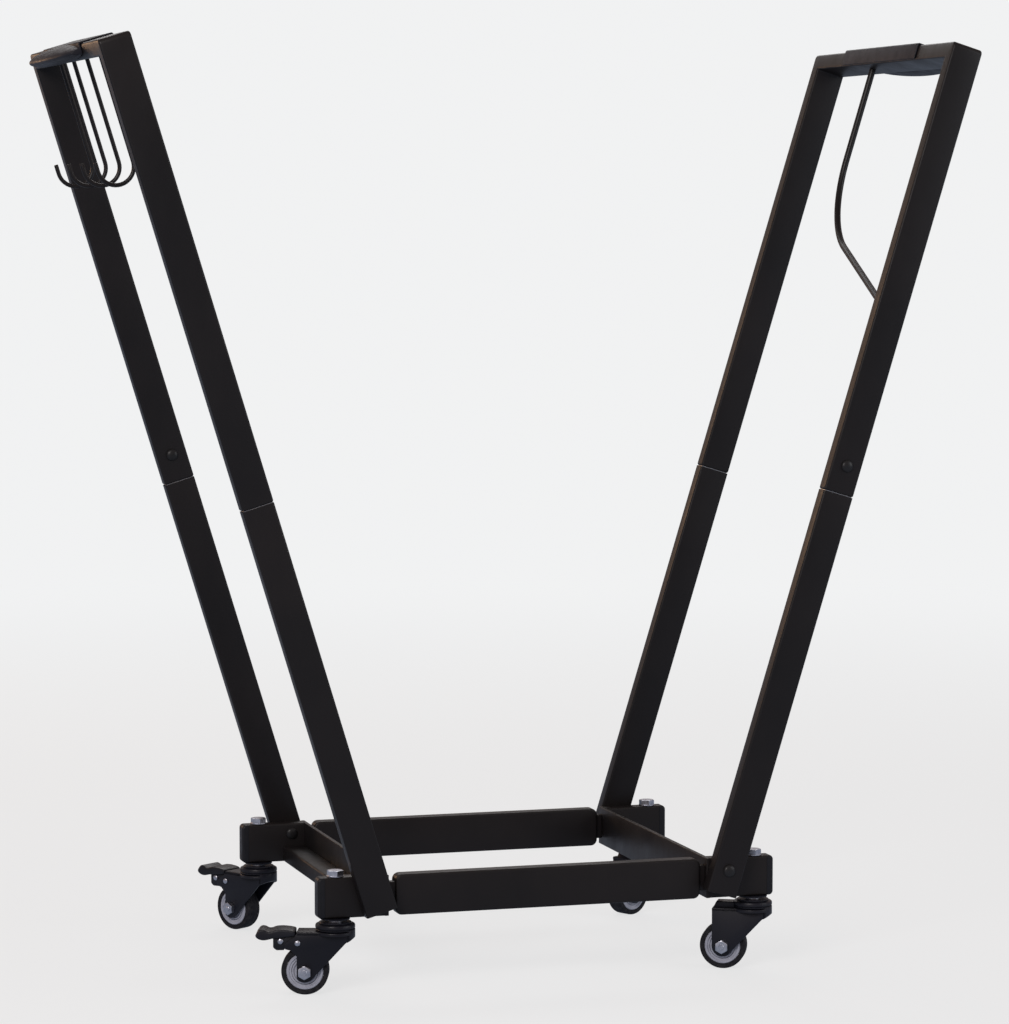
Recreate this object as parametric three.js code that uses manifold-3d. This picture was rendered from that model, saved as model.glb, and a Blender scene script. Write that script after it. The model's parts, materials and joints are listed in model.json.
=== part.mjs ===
// Fireside log cart: two side frames of rectangular steel tube lean outward on a low base
// that rolls on four swivel casters. Firewood lies across the base's two rails, between the
// frames. Millimetres; +X to the right, +Y to the rear, +Z up, the floor at Z = 0.

import * as THREE from "three";
import { mergeVertices } from "three/addons/utils/BufferGeometryUtils.js";
import Module from "manifold-3d";

const wasm = await Module();
wasm.setup();

const DEGREE = Math.PI / 180;

// ---------------------------------------------------------------- driving dimensions

// Clearances
const fit = 0.3;               // between two pieces that rest on or sit in each other
const seamGap = 0.6;           // at the butt seam half way up each post
const shankFit = 0.3;          // round a shank in its hole, on the radius

// Side frames, measured in the leaning plane, along a post from floor level
const frameLean = 17 * DEGREE;
const frameFoot = 177.3;       // from the cart's middle to a post's axis, at floor level
const frameTop = 1141.8;       // to the top of the hand bar
const frameSeam = 591.3;       // to the seam between upper and lower post
const frameEnd = 99.8;         // to the square-cut foot of a post
const cartDepth = 446;         // over the front and rear posts
const postWide = 38;           // post tube, across the frame
const postDeep = 19;           // post tube, along the cart's depth
const tubeWall = 1.5;
const tubeRound = 2.5;         // rounded long edges of every tube
const barCornerRound = 6;      // outside corners where the hand bar turns into the posts
const spigotLong = 110;
const spigotWall = 2;

// Domed bolts at the seams and feet
const boltHeadRadius = 7;
const boltHeadTall = 4;
const boltRadius = 3;
const boltBite = 6;            // how far a shank reaches past the last wall it holds
const jointBoltRise = 34;      // above the seam
const footBoltHeight = 123.6;  // above the floor

// Base
const baseLow = 88.6;          // underside of the base above the floor
const baseTall = 47.5;         // rails and outriggers
const baseReach = 278;         // half the width over the end caps
const sidePlateInner = 194;    // from the cart's middle to a side plate's inner face
const sidePlateThick = 5;
const ledgeWide = 27;
const ledgeTall = 19;
const outriggerDeep = 19;
const capFlange = 8;           // part of a cap outside its tube
const capPlug = 7;
const capRound = 5;            // outer corners of a cap, seen from the front
const railDeep = 19;
const railHalf = 186;          // half the length of a rail's full section
const railRound = 8;           // rounded corners of a rail's ends
const tongueTall = 30;
const tongueDeep = 12;
const ventRadius = 3;

// Hand bar grips
const gripLong = 232;
const gripWall = 1.8;
const gripReach = 36;          // how far the bowed hand roll stands out from the bar
const gripRollTall = 20.5;
const gripBow = 124;           // half length over which the roll would taper to nothing
const gripLip = 14;            // height of the saddle's outer side
const gripSkirt = 1;           // bare bar left below the saddle's inner side

// Tool hooks under the left hand bar
const hookCount = 4;
const hookPitch = 84;
const hookRod = 5;
const hookDrop = 124;          // straight leg, from the bar down to the bend
const hookBend = 21;           // bend radius at the rod's axis
const hookTip = 11;            // straight tip after the bend
const hookOffset = 2.5;        // leg outward of the frame's middle plane

// Bent rod in the right frame
const bowRod = 8;
const bowTopBack = 61;         // rear of the frame's middle, under the hand bar
const bowLeg = 117;            // straight leg, from the bar down to the bend
const bowBend = 123;
const bowTurn = 68 * DEGREE;

// Casters; heights are above the floor
const casterInset = 22.5;      // from the end of the base to a stem's axis
const wheelRadius = 27.4;
const wheelWide = 22;
const tyreThick = 5.7;
const hubFaceDeep = 1.5;       // dished ring in each face of the hub
const casterTrail = 34.5;
const forkInside = 24.6;
const forkPlate = 2.5;
const forkTop = 73.6;
const forkTopPlate = 3.7;
const crownRadius = 23;
const crownTall = 8.4;
const skirtLow = 66.5;         // lower edge of the fork's front, at its foremost point
const skirtRise = 0.58;        // how steeply that edge climbs toward the front
const raceRadius = 19;
const raceNeck = 8.5;
const stemRadius = 5;
const stemHeadFlats = 17;
const stemHeadTall = 7;
const stemFootRadius = 8.5;
const stemFootTall = 3.2;
const axleRadius = 4;
const axleHeadFlats = 14;
const axleHeadTall = 5.5;
const forkBossRadius = 12.2;   // rounded lower end of a fork plate, about the axle
const forkBridgeTall = 6.8;
const forkBridgeSlope = 4.5;    // how far the bridge's rear end leans forward
const forkBridgeWide = 18;
const brakePivotX = 42.5;
const brakePivotHeight = 61;
const brakePinRadius = 2.5;
const brakeRivetX = 62.3;
const brakeRivetHeight = 62.6;
const brakeRivetRadius = 2;
const rivetHeadRadius = 3.5;
const rivetHeadTall = 2;
const brakeCheekThick = 2;
const brakeCheekGap = 0.7;     // between a cheek and the fork plate beside it
const brakePadWide = 31;

// One entry per corner: side of the cart, front or rear, the way the wheel trails, brake
const corners = [
  { name: "front_left", x: -1, y: -1, trail: 162, brake: true },
  { name: "front_right", x: 1, y: -1, trail: 152, brake: false },
  { name: "rear_left", x: -1, y: 1, trail: 124, brake: true },
  { name: "rear_right", x: 1, y: 1, trail: 208, brake: false },
];

// ---------------------------------------------------------------- derived places

const postMiddleY = cartDepth / 2 - postDeep / 2;
const postInnerY = cartDepth / 2 - postDeep;
const outriggerOuterY = postInnerY - fit;
const outriggerInnerY = outriggerOuterY - outriggerDeep;
const outriggerMiddleY = (outriggerOuterY + outriggerInnerY) / 2;
const baseHigh = baseLow + baseTall;
const baseMiddle = baseLow + baseTall / 2;
const sidePlateOuter = sidePlateInner + sidePlateThick;
const outriggerEnd = baseReach - capFlange - fit;
const casterX = baseReach - casterInset;
const barLow = frameTop - postDeep;
const footBoltAlong = footBoltHeight / Math.cos(frameLean);
const footBoltX = frameFoot + footBoltHeight * Math.tan(frameLean);
const holeRadius = boltRadius + shankFit;
const forkOuter = forkInside / 2 + forkPlate;
const crownHigh = forkTop + crownTall;
const hubRadius = wheelRadius - tyreThick - fit;

// ---------------------------------------------------------------- finishes

const blackSteel = { color: 0x17171a, roughness: 0.42, metalness: 0.55 };
const blackPlastic = { color: 0x0f0f10, roughness: 0.6, metalness: 0 };
const zincSteel = { color: 0xc9ccd0, roughness: 0.28, metalness: 0.95 };
const greyPlastic = { color: 0xb9bdc4, roughness: 0.45, metalness: 0 };
const blackRubber = { color: 0x1c1d20, roughness: 0.75, metalness: 0 };

function mesh(name, geometry, finish) {
  const piece = new THREE.Mesh(geometry, new THREE.MeshStandardMaterial(finish));
  piece.name = name;
  return piece;
}

// ---------------------------------------------------------------- solid helpers

function signedVolume(points, corners3) {
  const [a, b, c] = [new THREE.Vector3(), new THREE.Vector3(), new THREE.Vector3()];
  let sum = 0;
  for (let i = 0; i < corners3.length; i += 3) {
    a.fromBufferAttribute(points, corners3[i]);
    b.fromBufferAttribute(points, corners3[i + 1]);
    c.fromBufferAttribute(points, corners3[i + 2]);
    sum += a.dot(b.cross(c)) / 6;
  }
  return sum;
}

// The same surface with shared corners merged, no empty triangles, and faces outward.
function closed(geometry) {
  const bare = new THREE.BufferGeometry();
  bare.setAttribute("position", geometry.getAttribute("position").clone());
  if (geometry.index) bare.setIndex(geometry.index.clone());
  const merged = mergeVertices(bare, 1e-3);
  const all = merged.index.array;
  const kept = [];
  for (let i = 0; i < all.length; i += 3) {
    const [a, b, c] = [all[i], all[i + 1], all[i + 2]];
    if (a !== b && b !== c && c !== a) kept.push(a, b, c);
  }
  if (signedVolume(merged.getAttribute("position"), kept) < 0) kept.reverse();
  merged.setIndex(kept);
  merged.computeVertexNormals();
  return merged;
}

function solid(geometry) {
  const shell = closed(geometry);
  return new wasm.Manifold(new wasm.Mesh({
    numProp: 3,
    vertProperties: new Float32Array(shell.getAttribute("position").array),
    triVerts: new Uint32Array(shell.index.array),
  }));
}

function surface(body) {
  const cut = body.getMesh();
  const geometry = new THREE.BufferGeometry();
  geometry.setAttribute("position", new THREE.BufferAttribute(cut.vertProperties, 3));
  geometry.setIndex(new THREE.BufferAttribute(cut.triVerts, 1));
  geometry.computeVertexNormals();
  return geometry;
}

function join(bodies) {
  return bodies.reduce((whole, body) => whole.add(body));
}

function cut(body, tools) {
  return tools.reduce((rest, tool) => rest.subtract(tool), body);
}

function block([x0, x1], [y0, y1], [z0, z1]) {
  const box = new THREE.BoxGeometry(x1 - x0, y1 - y0, z1 - z0);
  return solid(box.translate((x0 + x1) / 2, (y0 + y1) / 2, (z0 + z1) / 2));
}

function roundedShape(wide, tall, round) {
  const [x, y] = [wide / 2, tall / 2];
  const shape = new THREE.Shape();
  shape.moveTo(-x + round, -y);
  shape.lineTo(x - round, -y);
  shape.absarc(x - round, -y + round, round, -Math.PI / 2, 0);
  shape.lineTo(x, y - round);
  shape.absarc(x - round, y - round, round, 0, Math.PI / 2);
  shape.lineTo(-x + round, y);
  shape.absarc(-x + round, y - round, round, Math.PI / 2, Math.PI);
  shape.lineTo(-x, -y + round);
  shape.absarc(-x + round, -y + round, round, Math.PI, 1.5 * Math.PI);
  return shape;
}

function polygon(points) {
  return new THREE.Shape(points.map(([x, y]) => new THREE.Vector2(x, y)));
}

// A shape extruded along +Z between two heights.
function prism(shape, from, to, curveSegments = 2) {
  const settings = { depth: to - from, bevelEnabled: false, curveSegments };
  return new THREE.ExtrudeGeometry(shape, settings).translate(0, 0, from);
}

// A shape drawn in Y and Z, extruded along +X.
const alongX = new THREE.Matrix4().makeBasis(
  new THREE.Vector3(0, 1, 0), new THREE.Vector3(0, 0, 1), new THREE.Vector3(1, 0, 0));

function prismX(shape, from, to, curveSegments) {
  return prism(shape, from, to, curveSegments).applyMatrix4(alongX);
}

// A shape drawn in X and Z, extruded along +Y.
function prismY(shape, from, to, curveSegments) {
  return prism(shape, -to, -from, curveSegments).rotateX(Math.PI / 2);
}

// A plate whose outline keeps its size and whose long edges are rounded, centred on Z = 0.
function roundedPlate(shape, thick, round) {
  const settings = {
    depth: thick - 2 * round, bevelEnabled: true, bevelThickness: round, bevelSize: round,
    bevelOffset: -round, bevelSegments: 2, curveSegments: 4,
  };
  return new THREE.ExtrudeGeometry(shape, settings).translate(0, 0, round - thick / 2);
}

// A turned piece about the Y axis, from [radius, place along Y] pairs.
function turned(profile, sides) {
  return new THREE.LatheGeometry(profile.map(([r, y]) => new THREE.Vector2(r, y)), sides);
}

function pinY(radius, from, to, sides = 12) {
  return solid(turned([[0, from], [radius, from], [radius, to], [0, to]], sides));
}

function pinZ(radius, from, to, sides = 16) {
  return solid(turned([[0, -to], [radius, -to], [radius, -from], [0, -from]], sides)
    .rotateX(-Math.PI / 2));
}

// A hexagon on the Y axis, chamfered round the face at the end called "to".
function hexY(flats, from, to) {
  const radius = flats / Math.sqrt(3);
  const chamfer = 0.07 * flats;
  return solid(turned([[0, from], [radius, from], [radius, to - Math.sign(to - from) * chamfer],
    [radius - 1.5 * chamfer, to], [0, to]], 6));
}

// A curve whose rings sit only where a bent rod needs them: at the ends of its straight
// legs and at even turns round its bends.
class RodPath extends THREE.Curve {
  constructor(start, direction) {
    super();
    this.rings = [{ point: start.clone(), heading: direction.clone().normalize() }];
  }

  straight(length) {
    const { point, heading } = this.rings.at(-1);
    this.rings.push({ point: point.clone().addScaledVector(heading, length), heading });
    return this;
  }

  bend(radius, angle, axis, stepAngle = 15 * DEGREE) {
    const { point, heading } = this.rings.at(-1);
    const toCentre = axis.clone().cross(heading).multiplyScalar(radius);
    const centre = point.clone().add(toCentre);
    const steps = Math.ceil(angle / stepAngle);
    for (let i = 1; i <= steps; i += 1) {
      const turn = angle * i / steps;
      const spoke = toCentre.clone().negate().applyAxisAngle(axis, turn);
      this.rings.push({
        point: centre.clone().add(spoke), heading: heading.clone().applyAxisAngle(axis, turn),
      });
    }
    return this;
  }

  ring(t) {
    return this.rings[Math.round(t * (this.rings.length - 1))];
  }

  getPoint(t, target = new THREE.Vector3()) {
    return target.copy(this.ring(t).point);
  }

  getPointAt(t, target) {
    return this.getPoint(t, target);
  }

  getTangent(t, target = new THREE.Vector3()) {
    return target.copy(this.ring(t).heading);
  }

  getTangentAt(t, target) {
    return this.getTangent(t, target);
  }
}

function rod(path, thick, sides) {
  const section = new THREE.Shape();
  section.absarc(0, 0, thick / 2, 0, 2 * Math.PI);
  const settings = {
    steps: path.rings.length - 1, extrudePath: path, bevelEnabled: false,
    curveSegments: sides / 2,
  };
  return closed(new THREE.ExtrudeGeometry(section, settings));
}

// ---------------------------------------------------------------- domed bolts

// Seat at Y = 0, head toward +Y, shank toward -Y.
function domedBolt(shankLong) {
  const profile = [[0, -shankLong], [boltRadius, -shankLong], [boltRadius, 0],
    [boltHeadRadius, 0]];
  const domeSteps = 3;
  for (let i = 0; i <= domeSteps; i += 1) {
    const angle = 90 * DEGREE * i / domeSteps;
    const edge = 0.25 * boltHeadTall;
    profile.push([boltHeadRadius * Math.cos(angle),
      edge + (boltHeadTall - edge) * Math.sin(angle)]);
  }
  return closed(turned(profile, 12));
}

function placedBolt(name, shankLong, x, seatY, facing, z) {
  const bolt = mesh(name, domedBolt(shankLong), blackSteel);
  bolt.position.set(x, seatY + facing * fit, z);
  if (facing < 0) bolt.rotation.z = Math.PI;
  return bolt;
}

function holeY(radius, x, [y0, y1], z) {
  return pinY(radius, Math.min(y0, y1), Math.max(y0, y1)).translate([x, 0, z]);
}

// ---------------------------------------------------------------- side frames
// A frame is drawn upright: X outward, Y to the rear, Z up its posts from floor level.
// The left frame is the right one turned half round, so its own Y points to the front.

// One inverted U: two posts and the hand bar, welded from the same tube.
function upperFrame(boltFaces) {
  const [half, inner, seam] = [cartDepth / 2, postInnerY, frameSeam + seamGap / 2];
  const skirt = 2 * tubeRound;
  const outline = new THREE.Shape();
  outline.moveTo(-half, seam - skirt);
  outline.lineTo(-inner, seam - skirt);
  outline.lineTo(-inner, barLow);
  outline.lineTo(inner, barLow);
  outline.lineTo(inner, seam - skirt);
  outline.lineTo(half, seam - skirt);
  outline.lineTo(half, frameTop - barCornerRound);
  outline.absarc(half - barCornerRound, frameTop - barCornerRound, barCornerRound, 0,
    Math.PI / 2);
  outline.lineTo(-half + barCornerRound, frameTop);
  outline.absarc(-half + barCornerRound, frameTop - barCornerRound, barCornerRound,
    Math.PI / 2, Math.PI);
  const outside = solid(roundedPlate(outline, postWide, tubeRound).applyMatrix4(alongX));
  const belowSeam = block([-postWide, postWide], [-cartDepth, cartDepth],
    [seam - 2 * skirt, seam]);
  const across = [-postWide / 2 + tubeWall, postWide / 2 - tubeWall];
  const barBore = block(across, [-half + tubeWall, half - tubeWall],
    [barLow + tubeWall, frameTop - tubeWall]);
  const postBores = [-1, 1].map((end) => block(across,
    [end * postMiddleY - postDeep / 2 + tubeWall, end * postMiddleY + postDeep / 2 - tubeWall],
    [seam - skirt, frameTop - tubeWall]));
  const holes = boltFaces.map(({ y, facing }) => holeY(holeRadius, 0,
    [y + facing, y - facing * (tubeWall + 1)], frameSeam + jointBoltRise));
  return surface(cut(outside, [belowSeam, barBore, ...postBores, ...holes]));
}

function lowerPost(end, holeFaces) {
  const top = frameSeam - seamGap / 2;
  const outside = solid(prism(roundedShape(postWide, postDeep, tubeRound), frameEnd, top))
    .translate([0, end * postMiddleY, 0]);
  const bore = block([-postWide / 2 + tubeWall, postWide / 2 - tubeWall],
    [end * postMiddleY - postDeep / 2 + tubeWall, end * postMiddleY + postDeep / 2 - tubeWall],
    [frameEnd + tubeWall, top + 1]);
  const holes = holeFaces.map(({ y, facing }) => holeY(holeRadius, 0,
    [y + facing, y - facing * (tubeWall + 1)], footBoltAlong));
  return surface(cut(outside, [bore, ...holes]));
}

function spigot(end, { y, facing }) {
  const [wide, deep] = [postWide - 2 * (tubeWall + fit), postDeep - 2 * (tubeWall + fit)];
  const [low, high] = [frameSeam - spigotLong / 2, frameSeam + spigotLong / 2];
  const middle = end * postMiddleY;
  const outside = block([-wide / 2, wide / 2], [middle - deep / 2, middle + deep / 2],
    [low, high]);
  const bore = block([-wide / 2 + spigotWall, wide / 2 - spigotWall],
    [middle - deep / 2 + spigotWall, middle + deep / 2 - spigotWall], [low - 1, high + 1]);
  const reach = tubeWall + fit + spigotWall;
  const hole = holeY(holeRadius, 0, [y, y - facing * (reach + 1)], frameSeam + jointBoltRise);
  return surface(cut(outside, [bore, hole]));
}

// A saddle over the hand bar, with a roll for the hand that bows out along its outer side.
function grip() {
  const [inside, top] = [postWide / 2 + fit, frameTop + fit];
  const [skin, crest] = [inside + gripWall, frameTop + fit + gripWall];
  const [low, half] = [barLow + gripSkirt, gripLong / 2];
  const section = new THREE.Shape();
  section.moveTo(-inside, low);
  section.lineTo(-inside, top);
  section.lineTo(inside, top);
  section.lineTo(inside, crest - gripLip);
  section.lineTo(skin, crest - gripLip);
  section.lineTo(skin, crest - tubeRound);
  section.absarc(skin - tubeRound, crest - tubeRound, tubeRound, 0, Math.PI / 2);
  section.lineTo(-skin + tubeRound, crest);
  section.absarc(-skin + tubeRound, crest - tubeRound, tubeRound, Math.PI / 2, Math.PI);
  section.lineTo(-skin, low);
  const saddle = solid(prismY(section, -half, half, 3));
  const bulge = solid(new THREE.SphereGeometry(1, 32, 20).rotateX(Math.PI / 2)
    .rotateZ(Math.PI / 2).scale(gripReach - fit, gripBow, gripRollTall / 2)
    .translate(inside, 0, crest - gripRollTall / 2));
  const outside = block([inside, inside + gripReach], [-half, half],
    [crest - gripRollTall, crest]);
  return surface(saddle.add(bulge.intersect(outside)));
}

const down = new THREE.Vector3(0, 0, -1);

// Leg down from the hand bar, half turn outward, short tip up.
function hook(y) {
  const start = new THREE.Vector3(hookOffset, y, barLow - fit);
  const path = new RodPath(start, down);
  path.straight(hookDrop).bend(hookBend, Math.PI, new THREE.Vector3(0, -1, 0));
  return rod(path.straight(hookTip), hookRod, 8);
}

// Leg down from the hand bar, then a wide sweep forward to the front post.
function bow() {
  const start = new THREE.Vector3(0, bowTopBack, barLow - fit);
  const path = new RodPath(start, down);
  path.straight(bowLeg).bend(bowBend, bowTurn, new THREE.Vector3(-1, 0, 0), 9.6 * DEGREE);
  const { point, heading } = path.rings.at(-1);
  const untilPost = (point.y + postInnerY - fit) / -heading.y - bowRod / 2 / Math.tan(bowTurn);
  return rod(path.straight(untilPost), bowRod, 10);
}

function sideFrame(side, turn, headsOutside) {
  const frame = new THREE.Group();
  frame.rotation.y = frameLean;
  frame.position.x = frameFoot;
  const ends = [-1, 1].map((end) => {
    const place = end * turn > 0 ? "rear" : "front";
    const outerFace = { y: end * cartDepth / 2, facing: end };
    const innerFace = { y: end * postInnerY, facing: -end };
    return { end, place, outerFace, innerFace, boltFace: headsOutside ? outerFace : innerFace };
  });
  frame.add(mesh(`upper_frame_${side}`, upperFrame(ends.map(({ boltFace }) => boltFace)),
    blackSteel));
  for (const { end, place, outerFace, innerFace, boltFace } of ends) {
    const footHoles = headsOutside ? [outerFace, innerFace] : [innerFace];
    frame.add(mesh(`lower_post_${place}_${side}`, lowerPost(end, footHoles), blackSteel));
    frame.add(mesh(`joint_spigot_${place}_${side}`, spigot(end, boltFace), zincSteel));
    const jointShank = tubeWall + 2 * fit + spigotWall + boltBite;
    frame.add(placedBolt(`joint_bolt_${place}_${side}`, jointShank, 0, boltFace.y,
      boltFace.facing, frameSeam + jointBoltRise));
  }
  frame.add(mesh(`grip_${side}`, grip(), blackPlastic));
  if (side === "left") {
    for (let i = 0; i < hookCount; i += 1) {
      const y = (i - (hookCount - 1) / 2) * hookPitch;
      frame.add(mesh(`tool_hook_${i + 1}`, hook(y), blackSteel));
    }
  } else {
    frame.add(mesh("tool_bow", bow(), blackSteel));
  }
  const turned180 = new THREE.Group();
  if (turn < 0) turned180.rotation.z = Math.PI;
  turned180.add(frame);
  return turned180;
}

// ---------------------------------------------------------------- base
// A base side is drawn for the right of the cart, with X outward.

function baseSide(side, holes) {
  const plate = block([sidePlateInner, sidePlateOuter], [-outriggerOuterY, outriggerOuterY],
    [baseLow, baseHigh]);
  const weld = 1;
  const ledgeSection = roundedShape(ledgeWide + weld, ledgeTall, tubeRound);
  const ledge = solid(prismY(ledgeSection, -outriggerInnerY - weld, outriggerInnerY + weld))
    .translate([sidePlateOuter + (ledgeWide - weld) / 2, 0, baseLow + ledgeTall / 2]);
  const outriggers = [-1, 1].map((end) => {
    const section = roundedShape(outriggerDeep, baseTall, tubeRound);
    return solid(prismX(section, sidePlateOuter - weld, outriggerEnd))
      .translate([0, end * outriggerMiddleY, baseMiddle]);
  });
  const bores = [-1, 1].map((end) => block([sidePlateOuter, outriggerEnd + 1],
    [end * outriggerMiddleY - outriggerDeep / 2 + tubeWall,
      end * outriggerMiddleY + outriggerDeep / 2 - tubeWall],
    [baseLow + tubeWall, baseHigh - tubeWall]));
  const ledgeBore = block([sidePlateOuter, sidePlateOuter + ledgeWide - tubeWall],
    [-outriggerMiddleY, outriggerMiddleY],
    [baseLow + tubeWall, baseLow + ledgeTall - tubeWall]);
  const stemHoles = [-1, 1].map((end) => pinZ(stemRadius + shankFit, baseLow - 1, baseHigh + 1)
    .translate([casterX, end * outriggerMiddleY, 0]));
  const body = cut(join([plate, ledge, ...outriggers]),
    [...bores, ledgeBore, ...stemHoles, ...holes]);
  return side < 0 ? body.rotate([0, 0, 180]) : body;
}

function footBoltHoles(headsOutside) {
  const innermost = headsOutside ? outriggerOuterY - tubeWall - 1 : outriggerInnerY - 1;
  return [-1, 1].map((end) => holeY(holeRadius, footBoltX,
    [end * (outriggerOuterY + 1), end * innermost], footBoltHeight));
}

function footBolt(corner, headsOutside) {
  const shank = postDeep + outriggerDeep + fit - (headsOutside ? outriggerDeep : postDeep)
    + tubeWall + fit + boltBite;
  const seat = headsOutside ? cartDepth / 2 : outriggerInnerY;
  const facing = headsOutside ? corner.y : -corner.y;
  return placedBolt(`foot_bolt_${corner.name}`, shank, corner.x * footBoltX, corner.y * seat,
    facing, footBoltHeight);
}

function endCap(corner) {
  const flange = solid(prismX(roundedShape(outriggerDeep, baseTall, tubeRound),
    baseReach - capFlange, baseReach));
  const face = solid(prismY(roundedShape(2 * capFlange, baseTall, capRound),
    -outriggerDeep, outriggerDeep, 5)).translate([baseReach - capFlange, 0, 0]);
  const [deep, tall] = [outriggerDeep, baseTall].map((size) => size - 2 * (tubeWall + fit));
  const plug = solid(prismX(roundedShape(deep, tall, tubeRound / 2),
    baseReach - capFlange - capPlug, baseReach - capFlange + 1));
  const cap = mesh(`end_cap_${corner.name}`, surface(join([flange.intersect(face), plug])),
    blackPlastic);
  cap.position.set(0, corner.y * outriggerMiddleY, baseMiddle);
  if (corner.x < 0) cap.rotation.z = Math.PI;
  return cap;
}

function rail(name, end) {
  const length = 2 * railHalf;
  const outside = solid(roundedPlate(roundedShape(length, baseTall, railRound), railDeep,
    tubeRound).rotateX(Math.PI / 2));
  const tongue = block([-sidePlateInner + fit, sidePlateInner - fit],
    [-tongueDeep / 2, tongueDeep / 2], [-tongueTall / 2, tongueTall / 2]);
  const bore = block([-railHalf + railRound, railHalf - railRound],
    [-railDeep / 2 + tubeWall, railDeep / 2 - tubeWall],
    [-baseTall / 2 + tubeWall, baseTall / 2 - tubeWall]);
  const vents = [-1, 1].map((way) => pinZ(ventRadius, -baseTall, 0, 10)
    .translate([way * (railHalf - 3 * railRound), 0, 0]));
  const body = cut(outside.add(tongue), [bore, ...vents]);
  const piece = mesh(name, surface(body), blackSteel);
  piece.position.set(0, end * outriggerMiddleY, baseMiddle);
  return piece;
}

function base() {
  const group = new THREE.Group();
  for (const [name, side] of [["left", -1], ["right", 1]]) {
    const holes = footBoltHoles(side > 0);
    group.add(mesh(`base_side_${name}`, surface(baseSide(side, holes)), blackSteel));
  }
  group.add(rail("front_rail", -1), rail("rear_rail", 1));
  for (const corner of corners) {
    group.add(endCap(corner), footBolt(corner, corner.x > 0));
  }
  return group;
}

// ---------------------------------------------------------------- casters
// Drawn about the stem's axis, floor at Z = 0, the wheel trailing toward +X.

function stem() {
  const [foot, race, under] = [forkTop - forkTopPlate - fit, crownHigh + fit, baseLow - fit];
  const profile = [[0, foot - stemFootTall], [stemFootRadius, foot - stemFootTall],
    [stemFootRadius, foot], [stemRadius, foot], [stemRadius, race], [raceRadius - 0.6, race],
    [raceRadius, race + 0.6], [raceRadius, race + 1.7], [raceNeck, race + 1.7],
    [raceNeck, under - 1.5], [raceRadius - 2, under - 1.5], [raceRadius - 2, under],
    [stemRadius, under], [stemRadius, baseHigh + fit + 1], [0, baseHigh + fit + 1]];
  const head = hexY(stemHeadFlats, baseHigh + fit, baseHigh + fit + stemHeadTall);
  return surface(solid(turned(profile, 20)).add(head).rotate([90, 0, 0]));
}

function forkPlateShape(brake) {
  const [x, z, r] = [casterTrail, wheelRadius, forkBossRadius];
  const nose = -Math.sqrt(crownRadius ** 2 - forkOuter ** 2);
  const [rear, tab] = [x + 9, brakePivotX + 15];
  const shape = new THREE.Shape();
  shape.moveTo(nose, forkTop);
  shape.lineTo(nose, forkTop - 9);
  shape.lineTo(nose + 5, forkTop - 13);
  shape.absarc(x, z, r, 235 * DEGREE, (brake ? 318 : 360) * DEGREE);
  if (brake) {
    shape.lineTo(rear, brakePivotHeight - 15.5);
    shape.lineTo(rear + 7, brakePivotHeight - 8.7);
    shape.lineTo(tab, brakePivotHeight - 7.2);
    shape.lineTo(tab, brakePivotHeight - 1);
    shape.lineTo(rear + 2.5, forkTop - 5.6);
    shape.lineTo(rear, forkTop);
  } else {
    shape.lineTo(x + r, forkTop);
  }
  return shape;
}

// The fork is pressed from one sheet, so its front is a curved skirt joining both plates.
function forkSkirt() {
  const foremost = forkTop - skirtLow;
  const ring = pinZ(crownRadius, skirtLow - foremost, forkTop - 1, 24)
    .subtract(pinZ(crownRadius - forkPlate, skirtLow - 2 * foremost, forkTop, 24));
  const [near, far] = [-crownRadius - 1, -forkOuter / 2];
  const edge = (x) => skirtLow - skirtRise * (x + crownRadius);
  const wedge = polygon([[near, edge(near)], [far, edge(far)], [far, forkTop],
    [near, forkTop]]);
  return ring.intersect(solid(prismY(wedge, -forkOuter, forkOuter)));
}

function fork(brake) {
  const back = brake ? casterTrail + 9 : casterTrail + forkBossRadius;
  const plates = [-1, 1].map((way) => solid(prismY(forkPlateShape(brake),
    way * (forkOuter - forkPlate / 2) - forkPlate / 2,
    way * (forkOuter - forkPlate / 2) + forkPlate / 2, 7)));
  const roof = block([0, back], [-forkOuter, forkOuter], [forkTop - forkTopPlate, forkTop]);
  const disc = pinZ(crownRadius, forkTop - forkTopPlate, forkTop, 24);
  const crown = solid(turned([[0, forkTop - 1], [crownRadius, forkTop - 1],
    [crownRadius, crownHigh - 1.5], [crownRadius - 1.5, crownHigh], [0, crownHigh]], 24)
    .rotateX(Math.PI / 2));
  const parts = [...plates, roof, disc, crown, forkSkirt()];
  if (!brake) {
    const [near, low, high] = [raceRadius + 1, forkTop - 1, forkTop + forkBridgeTall];
    const bridge = polygon([[near, low], [back - 0.5, low], [back - forkBridgeSlope, high],
      [near, high]]);
    parts.push(solid(prismY(bridge, -forkBridgeWide / 2, forkBridgeWide / 2)));
  }
  const holes = [pinZ(stemRadius + shankFit, forkTop - 2 * forkTopPlate, crownHigh + 1),
    holeY(axleRadius + shankFit, casterTrail, [-forkOuter - 1, forkOuter + 1], wheelRadius)];
  if (brake) {
    holes.push(holeY(brakePinRadius + shankFit, brakePivotX, [-forkOuter - 1, forkOuter + 1],
      brakePivotHeight));
  }
  return surface(cut(join(parts), holes));
}

function axleBolt() {
  const seat = forkOuter + fit;
  const shank = pinY(axleRadius, -seat - 1, seat + 1, 12);
  const head = hexY(axleHeadFlats, seat, seat + axleHeadTall);
  const nut = hexY(axleHeadFlats, -seat, -seat - axleHeadTall);
  return surface(join([shank, head, nut]));
}

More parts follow.
